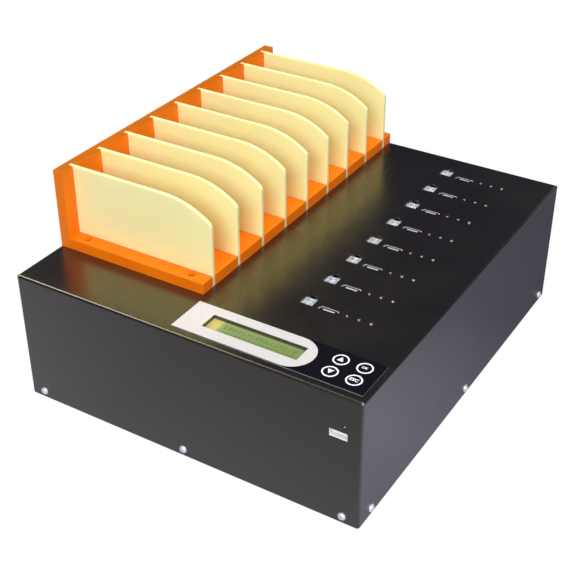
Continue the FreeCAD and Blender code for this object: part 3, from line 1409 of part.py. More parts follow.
def write(parts):
    os.makedirs("parts", exist_ok=True)
    for part in parts:
        part.Shape.exportStep(os.path.join("parts", part.Label + ".step"))
        print("%-18s %2d solids %12.2f mm3" % (part.Label, len(part.Shape.Solids), part.Shape.Volume))


PARTS = build()
check(PARTS)
write(PARTS)
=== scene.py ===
# %% [markdown]
# # A drive duplicator, dressed
#
# The duplicator copies one hard drive to seven others. A folded black box carries an open rack
# for eight drives, a power header, a data port and three lamps beside each bay, and a small
# panel with a display and four keys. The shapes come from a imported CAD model, so this lesson
# adds what a model of solids leaves out: finishes, softened edges, print and fine hardware.

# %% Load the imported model
import math
import bmesh
import bpy
from mathutils import Matrix, Vector


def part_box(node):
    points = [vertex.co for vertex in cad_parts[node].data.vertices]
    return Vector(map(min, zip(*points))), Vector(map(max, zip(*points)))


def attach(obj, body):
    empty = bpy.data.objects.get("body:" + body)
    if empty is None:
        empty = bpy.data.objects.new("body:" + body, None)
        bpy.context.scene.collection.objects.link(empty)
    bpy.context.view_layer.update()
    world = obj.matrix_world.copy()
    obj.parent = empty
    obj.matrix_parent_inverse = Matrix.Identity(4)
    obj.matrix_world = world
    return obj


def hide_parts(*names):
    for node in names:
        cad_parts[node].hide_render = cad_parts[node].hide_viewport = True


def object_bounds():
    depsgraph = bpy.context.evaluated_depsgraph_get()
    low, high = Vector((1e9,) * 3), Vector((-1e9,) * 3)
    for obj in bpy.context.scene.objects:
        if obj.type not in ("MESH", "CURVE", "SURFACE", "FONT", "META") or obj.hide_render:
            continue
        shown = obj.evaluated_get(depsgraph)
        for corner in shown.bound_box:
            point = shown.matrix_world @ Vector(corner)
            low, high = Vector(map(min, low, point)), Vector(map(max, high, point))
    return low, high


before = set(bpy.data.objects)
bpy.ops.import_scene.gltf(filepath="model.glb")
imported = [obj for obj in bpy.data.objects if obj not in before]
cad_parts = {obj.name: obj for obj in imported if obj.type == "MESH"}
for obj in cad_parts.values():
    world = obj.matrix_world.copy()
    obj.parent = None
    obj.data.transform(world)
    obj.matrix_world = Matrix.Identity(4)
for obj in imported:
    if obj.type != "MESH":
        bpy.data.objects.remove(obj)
cad_low, cad_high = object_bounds()
print("nodes:", len(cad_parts), " size (m):", [round(v, 4) for v in cad_high - cad_low])

# %% [markdown]
# ## Camera and studio
#
# A product like this is shown on white, from above and to the right, with a long lens. The
# camera comes first, because every finish is judged through it. The lens and the place of the
# eye are fixed numbers, so that the view stays the same however the object changes.

# %% Camera
EYE = (0.3884, -0.6589, 0.5496)
AROUND, ABOVE = math.radians(31.46), math.radians(32.99)
LENS_MM, SENSOR_MM = 72.7, 36
NEAREST = 0.05


def add_camera():
    """A long lens to the right of the box, looking down at a bit over a third of a right angle."""
    lens = bpy.data.cameras.new("studio_camera")
    lens.lens = LENS_MM
    lens.sensor_width = SENSOR_MM
    lens.clip_start = NEAREST
    eye = bpy.data.objects.new("studio_camera", lens)
    bpy.context.collection.objects.link(eye)
    back = Vector((math.sin(AROUND) * math.cos(ABOVE),
                   -math.cos(AROUND) * math.cos(ABOVE),
                   math.sin(ABOVE)))
    eye.location = EYE
    eye.rotation_euler = (-back).to_track_quat("-Z", "Y").to_euler()
    bpy.context.scene.camera = eye
    return eye


camera = add_camera()
print("camera at", [round(v, 3) for v in camera.location])

# %% [markdown]
# ## Light
#
# The real box stands on a lit white table under one large soft light, and the room behind it is
# dark. That is why its walls look grey, because they mirror the table, and its lid looks black,
# because it mirrors the room. The same three things are built here: a table that glows, brightest
# beside the box's front, a large light overhead with weaker ones around it, and a dim world.

# %% Soft lights
LIGHT_AIM = Vector((0, 0, 0.1))
SOFT_LIGHTS = [  # name, place, size and watts
    ("overhead", (0.3, -0.1, 1.7), 0.9, 17),
    ("left_soft", (-1.1, 0.05, 1.4), 0.8, 11),
    ("camera_fill", (0.5, -1.7, 1.15), 1.0, 34),
    ("right_fill", (1.5, -0.3, 0.9), 0.9, 8),
    ("rear_fill", (0.2, 1.7, 0.45), 0.7, 3),
]


def soft_light(name, place, size, watts):
    """A square area light at a place, facing the middle of the box."""
    lamp = bpy.data.lights.new(name, "AREA")
    lamp.size = size
    lamp.energy = watts
    holder = bpy.data.objects.new(name, lamp)
    bpy.context.collection.objects.link(holder)
    holder.location = place
    holder.rotation_euler = (LIGHT_AIM - Vector(place)).to_track_quat("-Z", "Y").to_euler()
    return holder


print("lights:", [soft_light(*facts).name for facts in SOFT_LIGHTS])

# %% [markdown]
# ## Room and table
#
# In Blender, what lights an object and what is seen behind it may differ. The room is dim where
# the lid mirrors it, and white behind the object. The table is evenly white to look at, and the
# light that it throws fades towards the rear. A Light Path node tells the two kinds of ray apart.

# %% Two helpers for shader nodes
def split_by_ray(nodes, links, lights, shows):
    """Joins two shaders: one lights the object, the other is what the camera sees directly."""
    path = nodes.new("ShaderNodeLightPath")
    mix = nodes.new("ShaderNodeMixShader")
    links.new(path.outputs["Is Camera Ray"], mix.inputs[0])
    links.new(lights.outputs[0], mix.inputs[1])
    links.new(shows.outputs[0], mix.inputs[2])
    return mix.outputs[0]


def colour_ramp(nodes, links, factor, stops):
    """Colours along a factor from 0 to 1, as (place, colour) pairs."""
    ramp = nodes.new("ShaderNodeValToRGB")
    while len(ramp.color_ramp.elements) < len(stops):
        ramp.color_ramp.elements.new(0.5)
    for element, (at, colour) in zip(ramp.color_ramp.elements, stops):
        element.position = at
        element.color = (*colour, 1)
    links.new(factor, ramp.inputs["Fac"])
    return ramp.outputs["Color"]


print("helpers ready: split_by_ray, colour_ramp")

# %% World
ROOM_COLOUR = (0.046, 0.045, 0.086, 1)


def add_world():
    """A dim bluish room for reflections, white where the camera looks straight at it."""
    room = bpy.data.worlds.new("studio_room")
    room.use_nodes = True
    nodes, links = room.node_tree.nodes, room.node_tree.links
    dim = nodes["Background"]
    dim.inputs["Color"].default_value = ROOM_COLOUR
    pale = nodes.new("ShaderNodeBackground")
    pale.inputs["Color"].default_value = (1, 1, 1, 1)
    links.new(split_by_ray(nodes, links, dim, pale), nodes["World Output"].inputs["Surface"])
    bpy.context.scene.world = room
    bpy.context.scene.view_settings.view_transform = "Standard"
    return room


print("world:", add_world().name)

# %% Glow of the table
TABLE_GLOW = [  # an axis, the stretch that the ramp spans, and the glow at places along it
    ("Y", (-0.45, 0.60), [(-0.40, 0.32), (-0.28, 0.48), (-0.16, 0.70), (-0.06, 0.70),
                          (0.12, 0.31), (0.36, 0.19), (0.46, 0.60)]),
    ("X", (-0.45, 0.45), [(-0.26, 1.0), (-0.08, 0.70), (0.12, 0.62), (0.22, 1.0)]),
]
TABLE_COLOUR = (0.96, 0.97, 1.40, 1)


def table_strength(nodes, links):
    """The glow at each place on the table: the product of one ramp along each axis."""
    place = nodes.new("ShaderNodeSeparateXYZ")
    links.new(nodes.new("ShaderNodeTexCoord").outputs["Object"], place.inputs[0])
    product = nodes.new("ShaderNodeMath")
    product.operation = "MULTIPLY"
    for socket, (axis, (start, end), stops) in zip(product.inputs, TABLE_GLOW):
        span = nodes.new("ShaderNodeMapRange")
        span.inputs["From Min"].default_value = start
        span.inputs["From Max"].default_value = end
        links.new(place.outputs[axis], span.inputs["Value"])
        greys = [((at - start) / (end - start), (glow,) * 3) for at, glow in stops]
        links.new(colour_ramp(nodes, links, span.outputs["Result"], greys), socket)
    return product.outputs[0]


def table_finish():
    """Evenly white to look at, uneven in the light that it throws, and clear from below, so that
    the underside can be looked at too."""
    white = bpy.data.materials.new("lit_white_table")
    white.use_nodes = True
    nodes, links = white.node_tree.nodes, white.node_tree.links
    nodes.remove(nodes["Principled BSDF"])
    glow = nodes.new("ShaderNodeEmission")
    glow.inputs["Color"].default_value = TABLE_COLOUR
    links.new(table_strength(nodes, links), glow.inputs["Strength"])
    plain = nodes.new("ShaderNodeEmission")
    plain.inputs["Strength"].default_value = 1.0
    two_sided = nodes.new("ShaderNodeMixShader")
    links.new(nodes.new("ShaderNodeNewGeometry").outputs["Backfacing"], two_sided.inputs[0])
    links.new(split_by_ray(nodes, links, glow, plain), two_sided.inputs[1])
    links.new(nodes.new("ShaderNodeBsdfTransparent").outputs[0], two_sided.inputs[2])
    links.new(two_sided.outputs[0], nodes["Material Output"].inputs["Surface"])
    return white


print("table glow runs along", [axis for axis, span, stops in TABLE_GLOW])

# %% Table top
TABLE_REACH = 9.0
TABLE_GAP = 0.0002


def add_table():
    """A wide table top just under the feet."""
    mesh = bpy.data.meshes.new("table_top")
    level = cad_low.z - TABLE_GAP
    mesh.from_pydata([(x * TABLE_REACH, y * TABLE_REACH, level)
                      for x, y in ((-1, -1), (1, -1), (1, 1), (-1, 1))], [], [(0, 1, 2, 3)])
    mesh.materials.append(table_finish())
    table = bpy.data.objects.new("table_top", mesh)
    bpy.context.collection.objects.link(table)
    return table


print("stage:", add_table().name)

# %% [markdown]
# ## Finishes
#
# Every finish is a Principled shader with small procedural changes: a slight drift of colour,
# a roughness that varies from place to place, and a fine bump. Noise in object coordinates is
# used instead of painted images, because it needs no unwrapping and has the same scale on every
# piece: the model is in metres, so a noise scale of 1000 gives grains of one millimetre.

# %% A finish and what varies on it
NOISE_LOW, NOISE_HIGH = 0.3, 0.7  # noise seldom leaves this stretch
MIX_FACTOR, MIX_FIRST, MIX_SECOND, MIX_RESULT = 0, 6, 7, 2  # a Mix node's colour sockets


class Finish:
    """A Principled material whose constants sit on the shader's own sockets."""

    def __init__(self, name, colour, rough, metal=0.0, **sockets):
        self.material = bpy.data.materials.new(name)
        self.material.use_nodes = True
        self.nodes = self.material.node_tree.nodes
        self.links = self.material.node_tree.links
        self.shader = self.nodes["Principled BSDF"]
        self.colour = colour
        self.shader.inputs["Base Color"].default_value = (*colour, 1)
        self.shader.inputs["Roughness"].default_value = rough
        self.shader.inputs["Metallic"].default_value = metal
        for socket, value in sockets.items():
            self.shader.inputs[socket.replace("_", " ")].default_value = value
        self.place = self.nodes.new("ShaderNodeTexCoord").outputs["Object"]
        self.bumps = None

    def noise(self, scale, detail=2.0, stretch=None):
        """Noise at a scale in grains per metre, drawn out along an axis if asked."""
        place = self.place
        if stretch:
            mapping = self.nodes.new("ShaderNodeMapping")
            mapping.inputs["Scale"].default_value = stretch
            self.links.new(place, mapping.inputs["Vector"])
            place = mapping.outputs["Vector"]
        noise = self.nodes.new("ShaderNodeTexNoise")
        noise.inputs["Scale"].default_value = scale
        noise.inputs["Detail"].default_value = detail
        self.links.new(place, noise.inputs["Vector"])
        return noise.outputs["Fac"]

    def paint(self, factor, stops):
        """The base colour runs along a factor, and tints what is linked to it already."""
        colour = colour_ramp(self.nodes, self.links, factor, stops)
        base = self.shader.inputs["Base Color"]
        if base.is_linked:
            multiply = self.nodes.new("ShaderNodeMix")
            multiply.data_type, multiply.blend_type = "RGBA", "MULTIPLY"
            multiply.inputs[MIX_FACTOR].default_value = 1.0
            self.links.new(base.links[0].from_socket, multiply.inputs[MIX_FIRST])
            self.links.new(colour, multiply.inputs[MIX_SECOND])
            colour = multiply.outputs[MIX_RESULT]
        self.links.new(colour, base)
        return self

    def along(self, source, axis, stops):
        """The base colour runs along one axis of a texture coordinate."""
        parts = self.nodes.new("ShaderNodeSeparateXYZ")
        self.links.new(self.nodes.new("ShaderNodeTexCoord").outputs[source], parts.inputs[0])
        return self.paint(parts.outputs[axis], stops)

    def drift(self, scale, spread, detail=2.0):
        """The base colour wanders a little darker and lighter."""
        low = [channel * (1 - spread) for channel in self.colour]
        high = [min(1.0, channel * (1 + spread)) for channel in self.colour]
        return self.paint(self.noise(scale, detail), [(NOISE_LOW, low), (NOISE_HIGH, high)])

    def rub(self, scale, low, high, detail=2.0, stretch=None):
        """The roughness wanders between two values."""
        spread = self.nodes.new("ShaderNodeMapRange")
        spread.inputs["From Min"].default_value = NOISE_LOW
        spread.inputs["From Max"].default_value = NOISE_HIGH
        spread.inputs["To Min"].default_value = low
        spread.inputs["To Max"].default_value = high
        self.links.new(self.noise(scale, detail, stretch), spread.inputs["Value"])
        self.links.new(spread.outputs["Result"], self.shader.inputs["Roughness"])
        return self

    def by_facing(self, stops):
        """The base colour depends on how far a face looks up."""
        return self.along("Normal", "Z", stops)

    def grain(self, scale, height, detail=2.0, stretch=None):
        """A fine relief of a height in metres. Calls add up."""
        bump = self.nodes.new("ShaderNodeBump")
        bump.inputs["Strength"].default_value = 1.0
        bump.inputs["Distance"].default_value = height
        self.links.new(self.noise(scale, detail, stretch), bump.inputs["Height"])
        if self.bumps:
            self.links.new(self.bumps, bump.inputs["Normal"])
        self.bumps = bump.outputs["Normal"]
        self.links.new(self.bumps, self.shader.inputs["Normal"])
        return self


print("a finish has", len(Finish("trial", (0.5, 0.5, 0.5), 0.5).shader.inputs), "sockets to set")
bpy.data.materials.remove(bpy.data.materials["trial"])

# %% [markdown]
# ## Powder coat
#
# The folded sheet is powder coated: the paint melts into a skin with very shallow waves, about a
# millimetre across, and a satin gloss. Two layers of relief make the waves and the finer tooth.
# The coat is nearly black by itself, so most of what is seen on it is reflection.

# %% Powder coat and rubber
powder_coat = Finish("satin_black_powder_coat", (0.0034, 0.0030, 0.0040), 0.27,
                     Specular_IOR_Level=0.85, IOR=1.8, Specular_Tint=(1.0, 0.93, 0.60, 1.0))
powder_coat.drift(30, 0.12).rub(18, 0.24, 0.30, 3)
powder_coat.grain(900, 0.000008).grain(3200, 0.000003)
foot_rubber = Finish("matt_black_rubber", (0.018, 0.018, 0.018), 0.85, Specular_IOR_Level=0.3)
foot_rubber.drift(200, 0.25).rub(120, 0.78, 0.92).grain(2500, 0.00002, 4)
print("made:", powder_coat.material.name, foot_rubber.material.name)

# %% [markdown]
# ## Rack plastics
#
# The rack's two plates are cut from thick orange sheet and the dividers from thin cream sheet.
# Sheet plastic has a smooth, slightly waxy skin, and light enters it: the cream dividers glow
# where they are lit from behind. Subsurface scattering gives that glow without any trick with
# the lights. Fine streaks along the saw's path are left in the relief. The wall's top face is
# painted darker and browner than its sides, as painted shade, by a colour that follows facing.

# %% Orange and cream sheet
rack_orange = Finish("orange_plastic_sheet", (0.84, 0.172, 0.0008), 0.42,
                     Specular_IOR_Level=0.18)
rack_orange.drift(24, 0.05, 3).rub(60, 0.37, 0.47, 3).grain(260, 0.00002, 3)
wall_orange_painted_shade = Finish("orange_wall_painted_shade", (0.84, 0.188, 0.0006), 0.42,
                     Specular_IOR_Level=0.18)
wall_orange_painted_shade.drift(24, 0.05, 3).rub(60, 0.37, 0.47, 3).grain(260, 0.00002, 3)
# Painted shade: the wall's faces that look up are tinted darker and browner than its sides.
wall_orange_painted_shade.by_facing([(0.3, (1, 1, 1)), (0.7, (0.62, 0.66, 1.0))])
divider_cream = Finish("cream_plastic_sheet", (0.89, 0.84, 0.42), 0.36, Specular_IOR_Level=0.3,
                       Subsurface_Weight=0.7, Subsurface_Radius=(0.0045, 0.0045, 0.0025),
                       Subsurface_Scale=1.0)
divider_cream.drift(14, 0.025, 3).rub(45, 0.32, 0.42, 3).grain(180, 0.000015)
rack_sheets = [rack_orange, wall_orange_painted_shade, divider_cream]
print("made:", [finish.material.name for finish in rack_sheets])

# %% [markdown]
# ## Metals
#
# Screws are nickel plated, port shells are tinned sheet and the power supply's case is bare
# zinc-coated sheet. They differ in colour, roughness and the direction of their marks, and in how
# metallic they are: a dull plating or a film of oil scatters light as paint does, so those are
# only part metal. Stretching the noise along one axis draws it out into rolling or turning marks.
# The data ports' thin rims face up and stay bright, and their inner walls, which face sideways,
# are painted dark as painted shade.

# %% Plated, tinned and bare metals
nickel = Finish("bright_nickel_plate", (0.90, 0.90, 0.93), 0.46, 0.7)
nickel.drift(400, 0.05).rub(900, 0.40, 0.54, 3).grain(2600, 0.000004)
# Painted shade: the bolts' steel is darkened so that the bores they sit in read dark.
bolt_steel = Finish("dark_bolt_steel_painted_shade", (0.22, 0.19, 0.16), 0.45, 0.8)
bolt_steel.drift(500, 0.12).rub(700, 0.38, 0.55)
shell_steel = Finish("tinned_shell", (0.97, 0.94, 0.91), 0.42, 0.2)
shell_steel.drift(300, 0.06).rub(700, 0.32, 0.46).grain(1500, 0.000004, stretch=(1, 1, 0.1))
port_steel_painted_shade = Finish("port_rim_with_painted_shade", (0.90, 0.88, 0.92), 0.42, 0.3)
port_steel_painted_shade.rub(700, 0.36, 0.5)
# Painted shade: faces that point sideways, the shells' inner walls, are painted near black.
port_steel_painted_shade.by_facing([(0.3, (0.022, 0.022, 0.024)), (0.7, port_steel_painted_shade.colour)])
contact_tin = Finish("contact_tin", (0.86, 0.84, 0.82), 0.42, 0.5)
contact_tin.drift(500, 0.08).rub(800, 0.36, 0.5)
contact_gold = Finish("gold_flash", (0.86, 0.62, 0.24), 0.25, 1.0)
contact_gold.drift(600, 0.08).rub(900, 0.2, 0.34)
guard_wire = Finish("bright_guard_wire", (0.78, 0.78, 0.80), 0.16, 1.0)
guard_wire.drift(200, 0.05).rub(500, 0.12, 0.26)
zinc_sheet = Finish("zinc_coated_sheet", (0.56, 0.58, 0.60), 0.42, 1.0)
zinc_sheet.drift(70, 0.16, 4).rub(60, 0.34, 0.52, 4).grain(500, 0.000006, stretch=(0.1, 1, 1))
post_brass = Finish("turned_brass", (0.72, 0.53, 0.22), 0.3, 1.0)
post_brass.drift(300, 0.08).rub(900, 0.24, 0.4, stretch=(0.1, 0.1, 1))
bezel_black = Finish("blackened_steel", (0.10, 0.10, 0.085), 0.5, 0.4)
bezel_black.drift(200, 0.15).rub(300, 0.42, 0.58)
metals = [nickel, bolt_steel, shell_steel, port_steel_painted_shade, contact_tin, contact_gold, guard_wire,
          zinc_sheet, post_brass, bezel_black]
print("metals:", [finish.material.name for finish in metals])

# %% [markdown]
# ## Moulded plastics and board
#
# Small mouldings have a fine spark-eroded texture from their tools. The white headers are
# unfilled nylon, which is milky and lets light through, so they get a little scattering too.
# Circuit boards are glass cloth under green lacquer, and the weave shows as a faint grid.

# %% Mouldings and board lacquer
header_white = Finish("milky_nylon", (0.74, 0.79, 0.86), 0.42, Subsurface_Weight=1.0,
                      Subsurface_Radius=(0.008, 0.008, 0.008), Subsurface_Scale=1.0)
header_white.drift(300, 0.04).rub(400, 0.36, 0.5).grain(1500, 0.00001)
tongue_black = Finish("black_contact_carrier", (0.016, 0.016, 0.017), 0.5)
tongue_black.drift(500, 0.2).rub(600, 0.42, 0.58)
tongue_white = Finish("white_contact_carrier", (0.97, 0.93, 0.88), 0.4, Subsurface_Weight=0.4,
                      Subsurface_Radius=(0.003, 0.003, 0.003), Subsurface_Scale=1.0)
tongue_white.drift(400, 0.04).rub(500, 0.34, 0.46)
fan_black = Finish("fan_plastic", (0.016, 0.016, 0.018), 0.48)
fan_black.drift(150, 0.18).rub(250, 0.42, 0.56).grain(1800, 0.00001, 3)
inlet_black = Finish("inlet_plastic", (0.014, 0.014, 0.014), 0.5)
inlet_black.drift(150, 0.18).rub(300, 0.44, 0.58).grain(2200, 0.00001, 3)
rocker_black = Finish("polished_rocker", (0.010, 0.010, 0.011), 0.2,
                      Coat_Weight=0.4, Coat_Roughness=0.08)
rocker_black.drift(150, 0.15).rub(120, 0.16, 0.26)
board_green = Finish("green_board_lacquer", (0.018, 0.11, 0.045), 0.3,
                     Coat_Weight=0.3, Coat_Roughness=0.15)
board_green.drift(120, 0.2, 3).rub(260, 0.24, 0.38)
board_green.grain(1400, 0.000006, detail=0, stretch=(1, 0.25, 1))
mouldings = [header_white, tongue_black, tongue_white, fan_black, inlet_black, rocker_black]
print("made:", [finish.material.name for finish in mouldings], board_green.material.name)

# %% [markdown]
# ## Lamps
#
# The lamps are dark when the duplicator is off. Each is a clear or tinted epoxy dome that mirrors
# the light overhead at its tip. A smooth coat over a dark tint shows that highlight. The small
# lamp on the front wall is in the same CAD node as the green ones, but its resin is clear, so the
# green finish turns grey below the lid.

# %% Lamp resins
LAMP_COAT = {"Coat_Weight": 1.0, "Coat_Roughness": 0.04}
GREY_BELOW, GREEN_ABOVE = 0.090, 0.095
lamp_red = Finish("red_lamp_resin", (0.13, 0.0015, 0.010), 0.12, Coat_IOR=1.85, **LAMP_COAT)
lamp_red.drift(900, 0.3)
lamp_green = Finish("clear_lamp_resin", (0.026, 0.062, 0.038), 0.12, Coat_IOR=2.2, **LAMP_COAT)
lamp_green.along("Object", "Z", [(GREY_BELOW, (0.035, 0.038, 0.040)),
                                 (GREEN_ABOVE, lamp_green.colour)])
lamp_yellow = Finish("yellow_lamp_resin", (0.15, 0.105, 0.005), 0.12, Coat_IOR=2.2, **LAMP_COAT)
lamp_yellow.drift(900, 0.25)
print("lamps:", lamp_red.material.name, lamp_green.material.name, lamp_yellow.material.name)

# %% [markdown]
# ## Printed film and keys
#
# The key panel is a glossy film, printed from behind and glued to the lid. Its cut edge is clear,
# and the light that it catches is painted on as a thin bright line. The finish therefore asks
# which
# way a face points: faces that point sideways are the cut edge and turn pale, a painted highlight.

# %% Film, key and white ink
film_black = Finish("black_panel_film", (0.0050, 0.0042, 0.0058), 0.16, Specular_IOR_Level=0.5)
film_black.rub(90, 0.12, 0.2, 3)
# Painted highlight: faces that point sideways, the film's cut edge, are painted pale grey.
film_black.by_facing([(0.2, (0.30, 0.30, 0.31)), (0.6, film_black.colour)])
key_black = Finish("key_cap", (0.0055, 0.0048, 0.0060), 0.22, Specular_IOR_Level=0.5)
key_black.drift(300, 0.15).rub(260, 0.18, 0.3, 3)
ink_white = Finish("white_ink", (0.86, 0.86, 0.88), 0.35)
ink_white.drift(60, 0.025).rub(200, 0.3, 0.42)
label_white = Finish("pale_label", (0.595, 0.572, 0.550), 0.3,
                     Coat_Weight=0.3, Coat_Roughness=0.15)
label_white.drift(25, 0.02, 3).rub(90, 0.26, 0.36)
panel_finishes = [film_black, key_black, ink_white, label_white]
print("made:", [finish.material.name for finish in panel_finishes])

# %% [markdown]
# ## Display glass
#
# The display is a yellow-green liquid crystal panel, and its blank characters show as faint dark
# cells, five dots by eight. The green comes from a ramp along X, darker towards the right, whose
# yellowish left end is a painted reflection of the rack. The cells are laid on it later as print.

# %% Yellow-green display
lcd_green = Finish("display_glass", (0.24, 0.34, 0.095), 0.14, Specular_IOR_Level=0.5)
lcd_low, lcd_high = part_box("lcd_cell")
across_glass = lcd_green.nodes.new("ShaderNodeSeparateXYZ")
lcd_green.links.new(lcd_green.place, across_glass.inputs[0])
glass_span = lcd_green.nodes.new("ShaderNodeMapRange")
glass_span.inputs["From Min"].default_value = lcd_low.x
glass_span.inputs["From Max"].default_value = lcd_high.x
lcd_green.links.new(across_glass.outputs["X"], glass_span.inputs["Value"])
# Painted reflection: the left eighth of the glass is painted yellowish, as the rack mirrored in
# it.
lcd_green.paint(glass_span.outputs["Result"],
                [(0.0, (0.56, 0.47, 0.13)), (0.125, (0.50, 0.44, 0.13)),
                 (0.145, (0.245, 0.31, 0.112)), (1.0, (0.19, 0.25, 0.092))])
print("display from x =", round(lcd_low.x, 4), "to", round(lcd_high.x, 4))

# %% [markdown]
# ## Dressing the CAD pieces
#
# The pieces whose shape is right keep it. Each gets its finish, and the ones with sharp machined
# edges get a narrow bevel, because no real edge is perfectly sharp and the thin highlight along
# it is what makes an object look solid. Coplanar triangles are merged first, so that the bevel
# finds only true edges.

# %% Finishes for the carried-over nodes
WEARS = {
    powder_coat: ["top_cover", "bottom_tray"],
    foot_rubber: ["rubber_feet"],
    nickel: ["cover_screws", "fan_screws"],
    bolt_steel: ["rack_fasteners"],
    wall_orange_painted_shade: ["rack_wall"],
    rack_orange: ["rack_base"],
    divider_cream: ["divider_%d" % number for number in range(1, 10)],
    film_black: ["panel_overlay"],
    key_black: ["up_key", "down_key", "ok_key", "back_key"],
    board_green: ["panel_board", "port_board", "usb_board", "main_board"],
    bezel_black: ["lcd_bezel"],
    tongue_black: ["data_tongues", "key_switches"],
    lcd_green: ["lcd_cell"],
    header_white: ["power_header_%d" % number for number in range(1, 9)],
    contact_tin: ["header_pins", "inlet_pins"],
    port_steel_painted_shade: ["data_shell_%d" % number for number in range(1, 9)],
    shell_steel: ["usb_shell"],
    tongue_white: ["usb_tongue"],
    lamp_red: ["red_leds"],
    lamp_green: ["green_leds"],
    lamp_yellow: ["yellow_leds"],
    fan_black: ["fan_frame", "fan_rotor"],
    guard_wire: ["fan_guard"],
    inlet_black: ["inlet_housing"],
    rocker_black: ["power_rocker"],
    zinc_sheet: ["power_supply"],
    post_brass: ["board_spacers"],
}


def wear(node, finish):
    """Gives a CAD node one finish in every slot."""
    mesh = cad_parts[node].data
    if not mesh.materials:
        mesh.materials.append(None)
    for place in range(len(mesh.materials)):
        mesh.materials[place] = finish.material


for finish, nodes in WEARS.items():
    for node in nodes:
        wear(node, finish)
undressed = set(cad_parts) - {node for nodes in WEARS.values() for node in nodes}
print("dressed:", sum(len(nodes) for nodes in WEARS.values()), " left:", sorted(undressed))

# %% Softened edges
SAME_POINT = 0.00001
FLAT_ANGLE, EDGE_ANGLE = math.radians(1), math.radians(35)
DIVIDER_EDGE, RACK_EDGE = 0.0003, 0.0005


def soften(node, width):
    """Bevels the true edges of a CAD node with modifiers, which leave its mesh as it is."""
    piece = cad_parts[node]
    weld = piece.modifiers.new("join_corners", "WELD")
    weld.merge_threshold = SAME_POINT
    flat = piece.modifiers.new("merge_flats", "DECIMATE")
    flat.decimate_type = "DISSOLVE"
    flat.angle_limit = FLAT_ANGLE
    bevel = piece.modifiers.new("soft_edge", "BEVEL")
    bevel.width = width
    bevel.segments = 2
    bevel.limit_method = "ANGLE"
    bevel.angle_limit = EDGE_ANGLE
    bevel.harden_normals = True
    bevel.use_clamp_overlap = True


for node in WEARS[divider_cream]:
    soften(node, DIVIDER_EDGE)
for node in WEARS[wall_orange_painted_shade] + WEARS[rack_orange]:
    soften(node, RACK_EDGE)
print("bevelled:", [node for node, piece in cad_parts.items() if piece.modifiers])

# %% [markdown]
# ## Building small pieces
#
# The hardware and the print are new pieces. Each is a bmesh that is turned into an object, given
# a finish, and set to ride on the body that carries it.

# %% A bmesh becomes a piece
ROUND_BELOW = math.radians(40)


def piece_from(shape, name, finish, body="chassis", smooth=False):
    """A bmesh becomes a shown piece with a finish and a body to ride on."""
    bmesh.ops.recalc_face_normals(shape, faces=shape.faces)
    mesh = bpy.data.meshes.new(name)
    shape.to_mesh(mesh)
    shape.free()
    mesh.materials.append(finish.material)
    piece = bpy.data.objects.new(name, mesh)
    bpy.context.collection.objects.link(piece)
    if smooth:
        mesh.shade_smooth()
        mesh.set_sharp_from_angle(angle=ROUND_BELOW)
    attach(piece, body)
    return piece


def aimed(place, axis):
    """The matrix that puts a piece's own up along an axis, at a place."""
    return Matrix.Translation(place) @ Vector(axis).to_track_quat("Z", "Y").to_matrix().to_4x4()


print("helpers ready: piece_from, aimed")

# %% Rings and turned shapes
def ring(centre, radius, steps=64):
    """A circle as a loop of (x, y) points."""
    return [(centre[0] + radius * math.cos(step * math.tau / steps),
             centre[1] + radius * math.sin(step * math.tau / steps)) for step in range(steps)]


def lathe(profile, steps):
    """A shape turned about Z from (radius, height) points. A radius of 0 closes it in a point."""
    shape = bmesh.new()
    rings = []
    for radius, height in profile:
        turns = ring((0, 0), radius, steps) if radius else [(0, 0)]
        rings.append([shape.verts.new((x, y, height)) for x, y in turns])
    for low, high in zip(rings, rings[1:]):
        for step in range(steps):
            after = (step + 1) % steps
            corners = [low[step % len(low)], low[after % len(low)],
                       high[after % len(high)], high[step % len(high)]]
            corners = list(dict.fromkeys(corners))
            if len(corners) > 2:
                shape.faces.new(corners)
    return shape


print("helpers ready: ring, lathe")

# %% Flat print
PRINT_THICK = 0.00004
TOUCHING = 1e-7


def flat_mesh(name, curve):
    """A filled curve or a text as a bmesh."""
    holder = bpy.data.objects.new(name + "_line", curve)
    shape = bmesh.new()
    shape.from_mesh(bpy.data.meshes.new_from_object(holder))
    bpy.data.objects.remove(holder)
    return shape


def printed(name, loops, level, finish, body="chassis"):
    """Flat print from closed loops of (x, y) points. A loop inside another is a hole in it."""
    curve = bpy.data.curves.new(name, "CURVE")
    curve.dimensions = "2D"
    curve.fill_mode = "BOTH"
    curve.extrude = PRINT_THICK / 2
    for loop in loops:
        line = curve.splines.new("POLY")
        line.points.add(len(loop) - 1)
        for point, (x, y) in zip(line.points, loop):
            point.co = (x, y, 0, 1)
        line.use_cyclic_u = True
    shape = flat_mesh(name, curve)
    bmesh.ops.remove_doubles(shape, verts=shape.verts, dist=TOUCHING)
    bmesh.ops.translate(shape, verts=shape.verts, vec=(0, 0, level + PRINT_THICK / 2))
    return piece_from(shape, name, finish, body)


print("helpers ready: flat_mesh, printed")

# %% [markdown]
# ## Screws
#
# The casing screws are pan heads with a cross recess. A head is a turned profile, and the recess
# is cut with a boolean by a tapered cross, once, and then copied to every place. One mesh holds
# all twelve, because they are the same part and are never moved one by one.

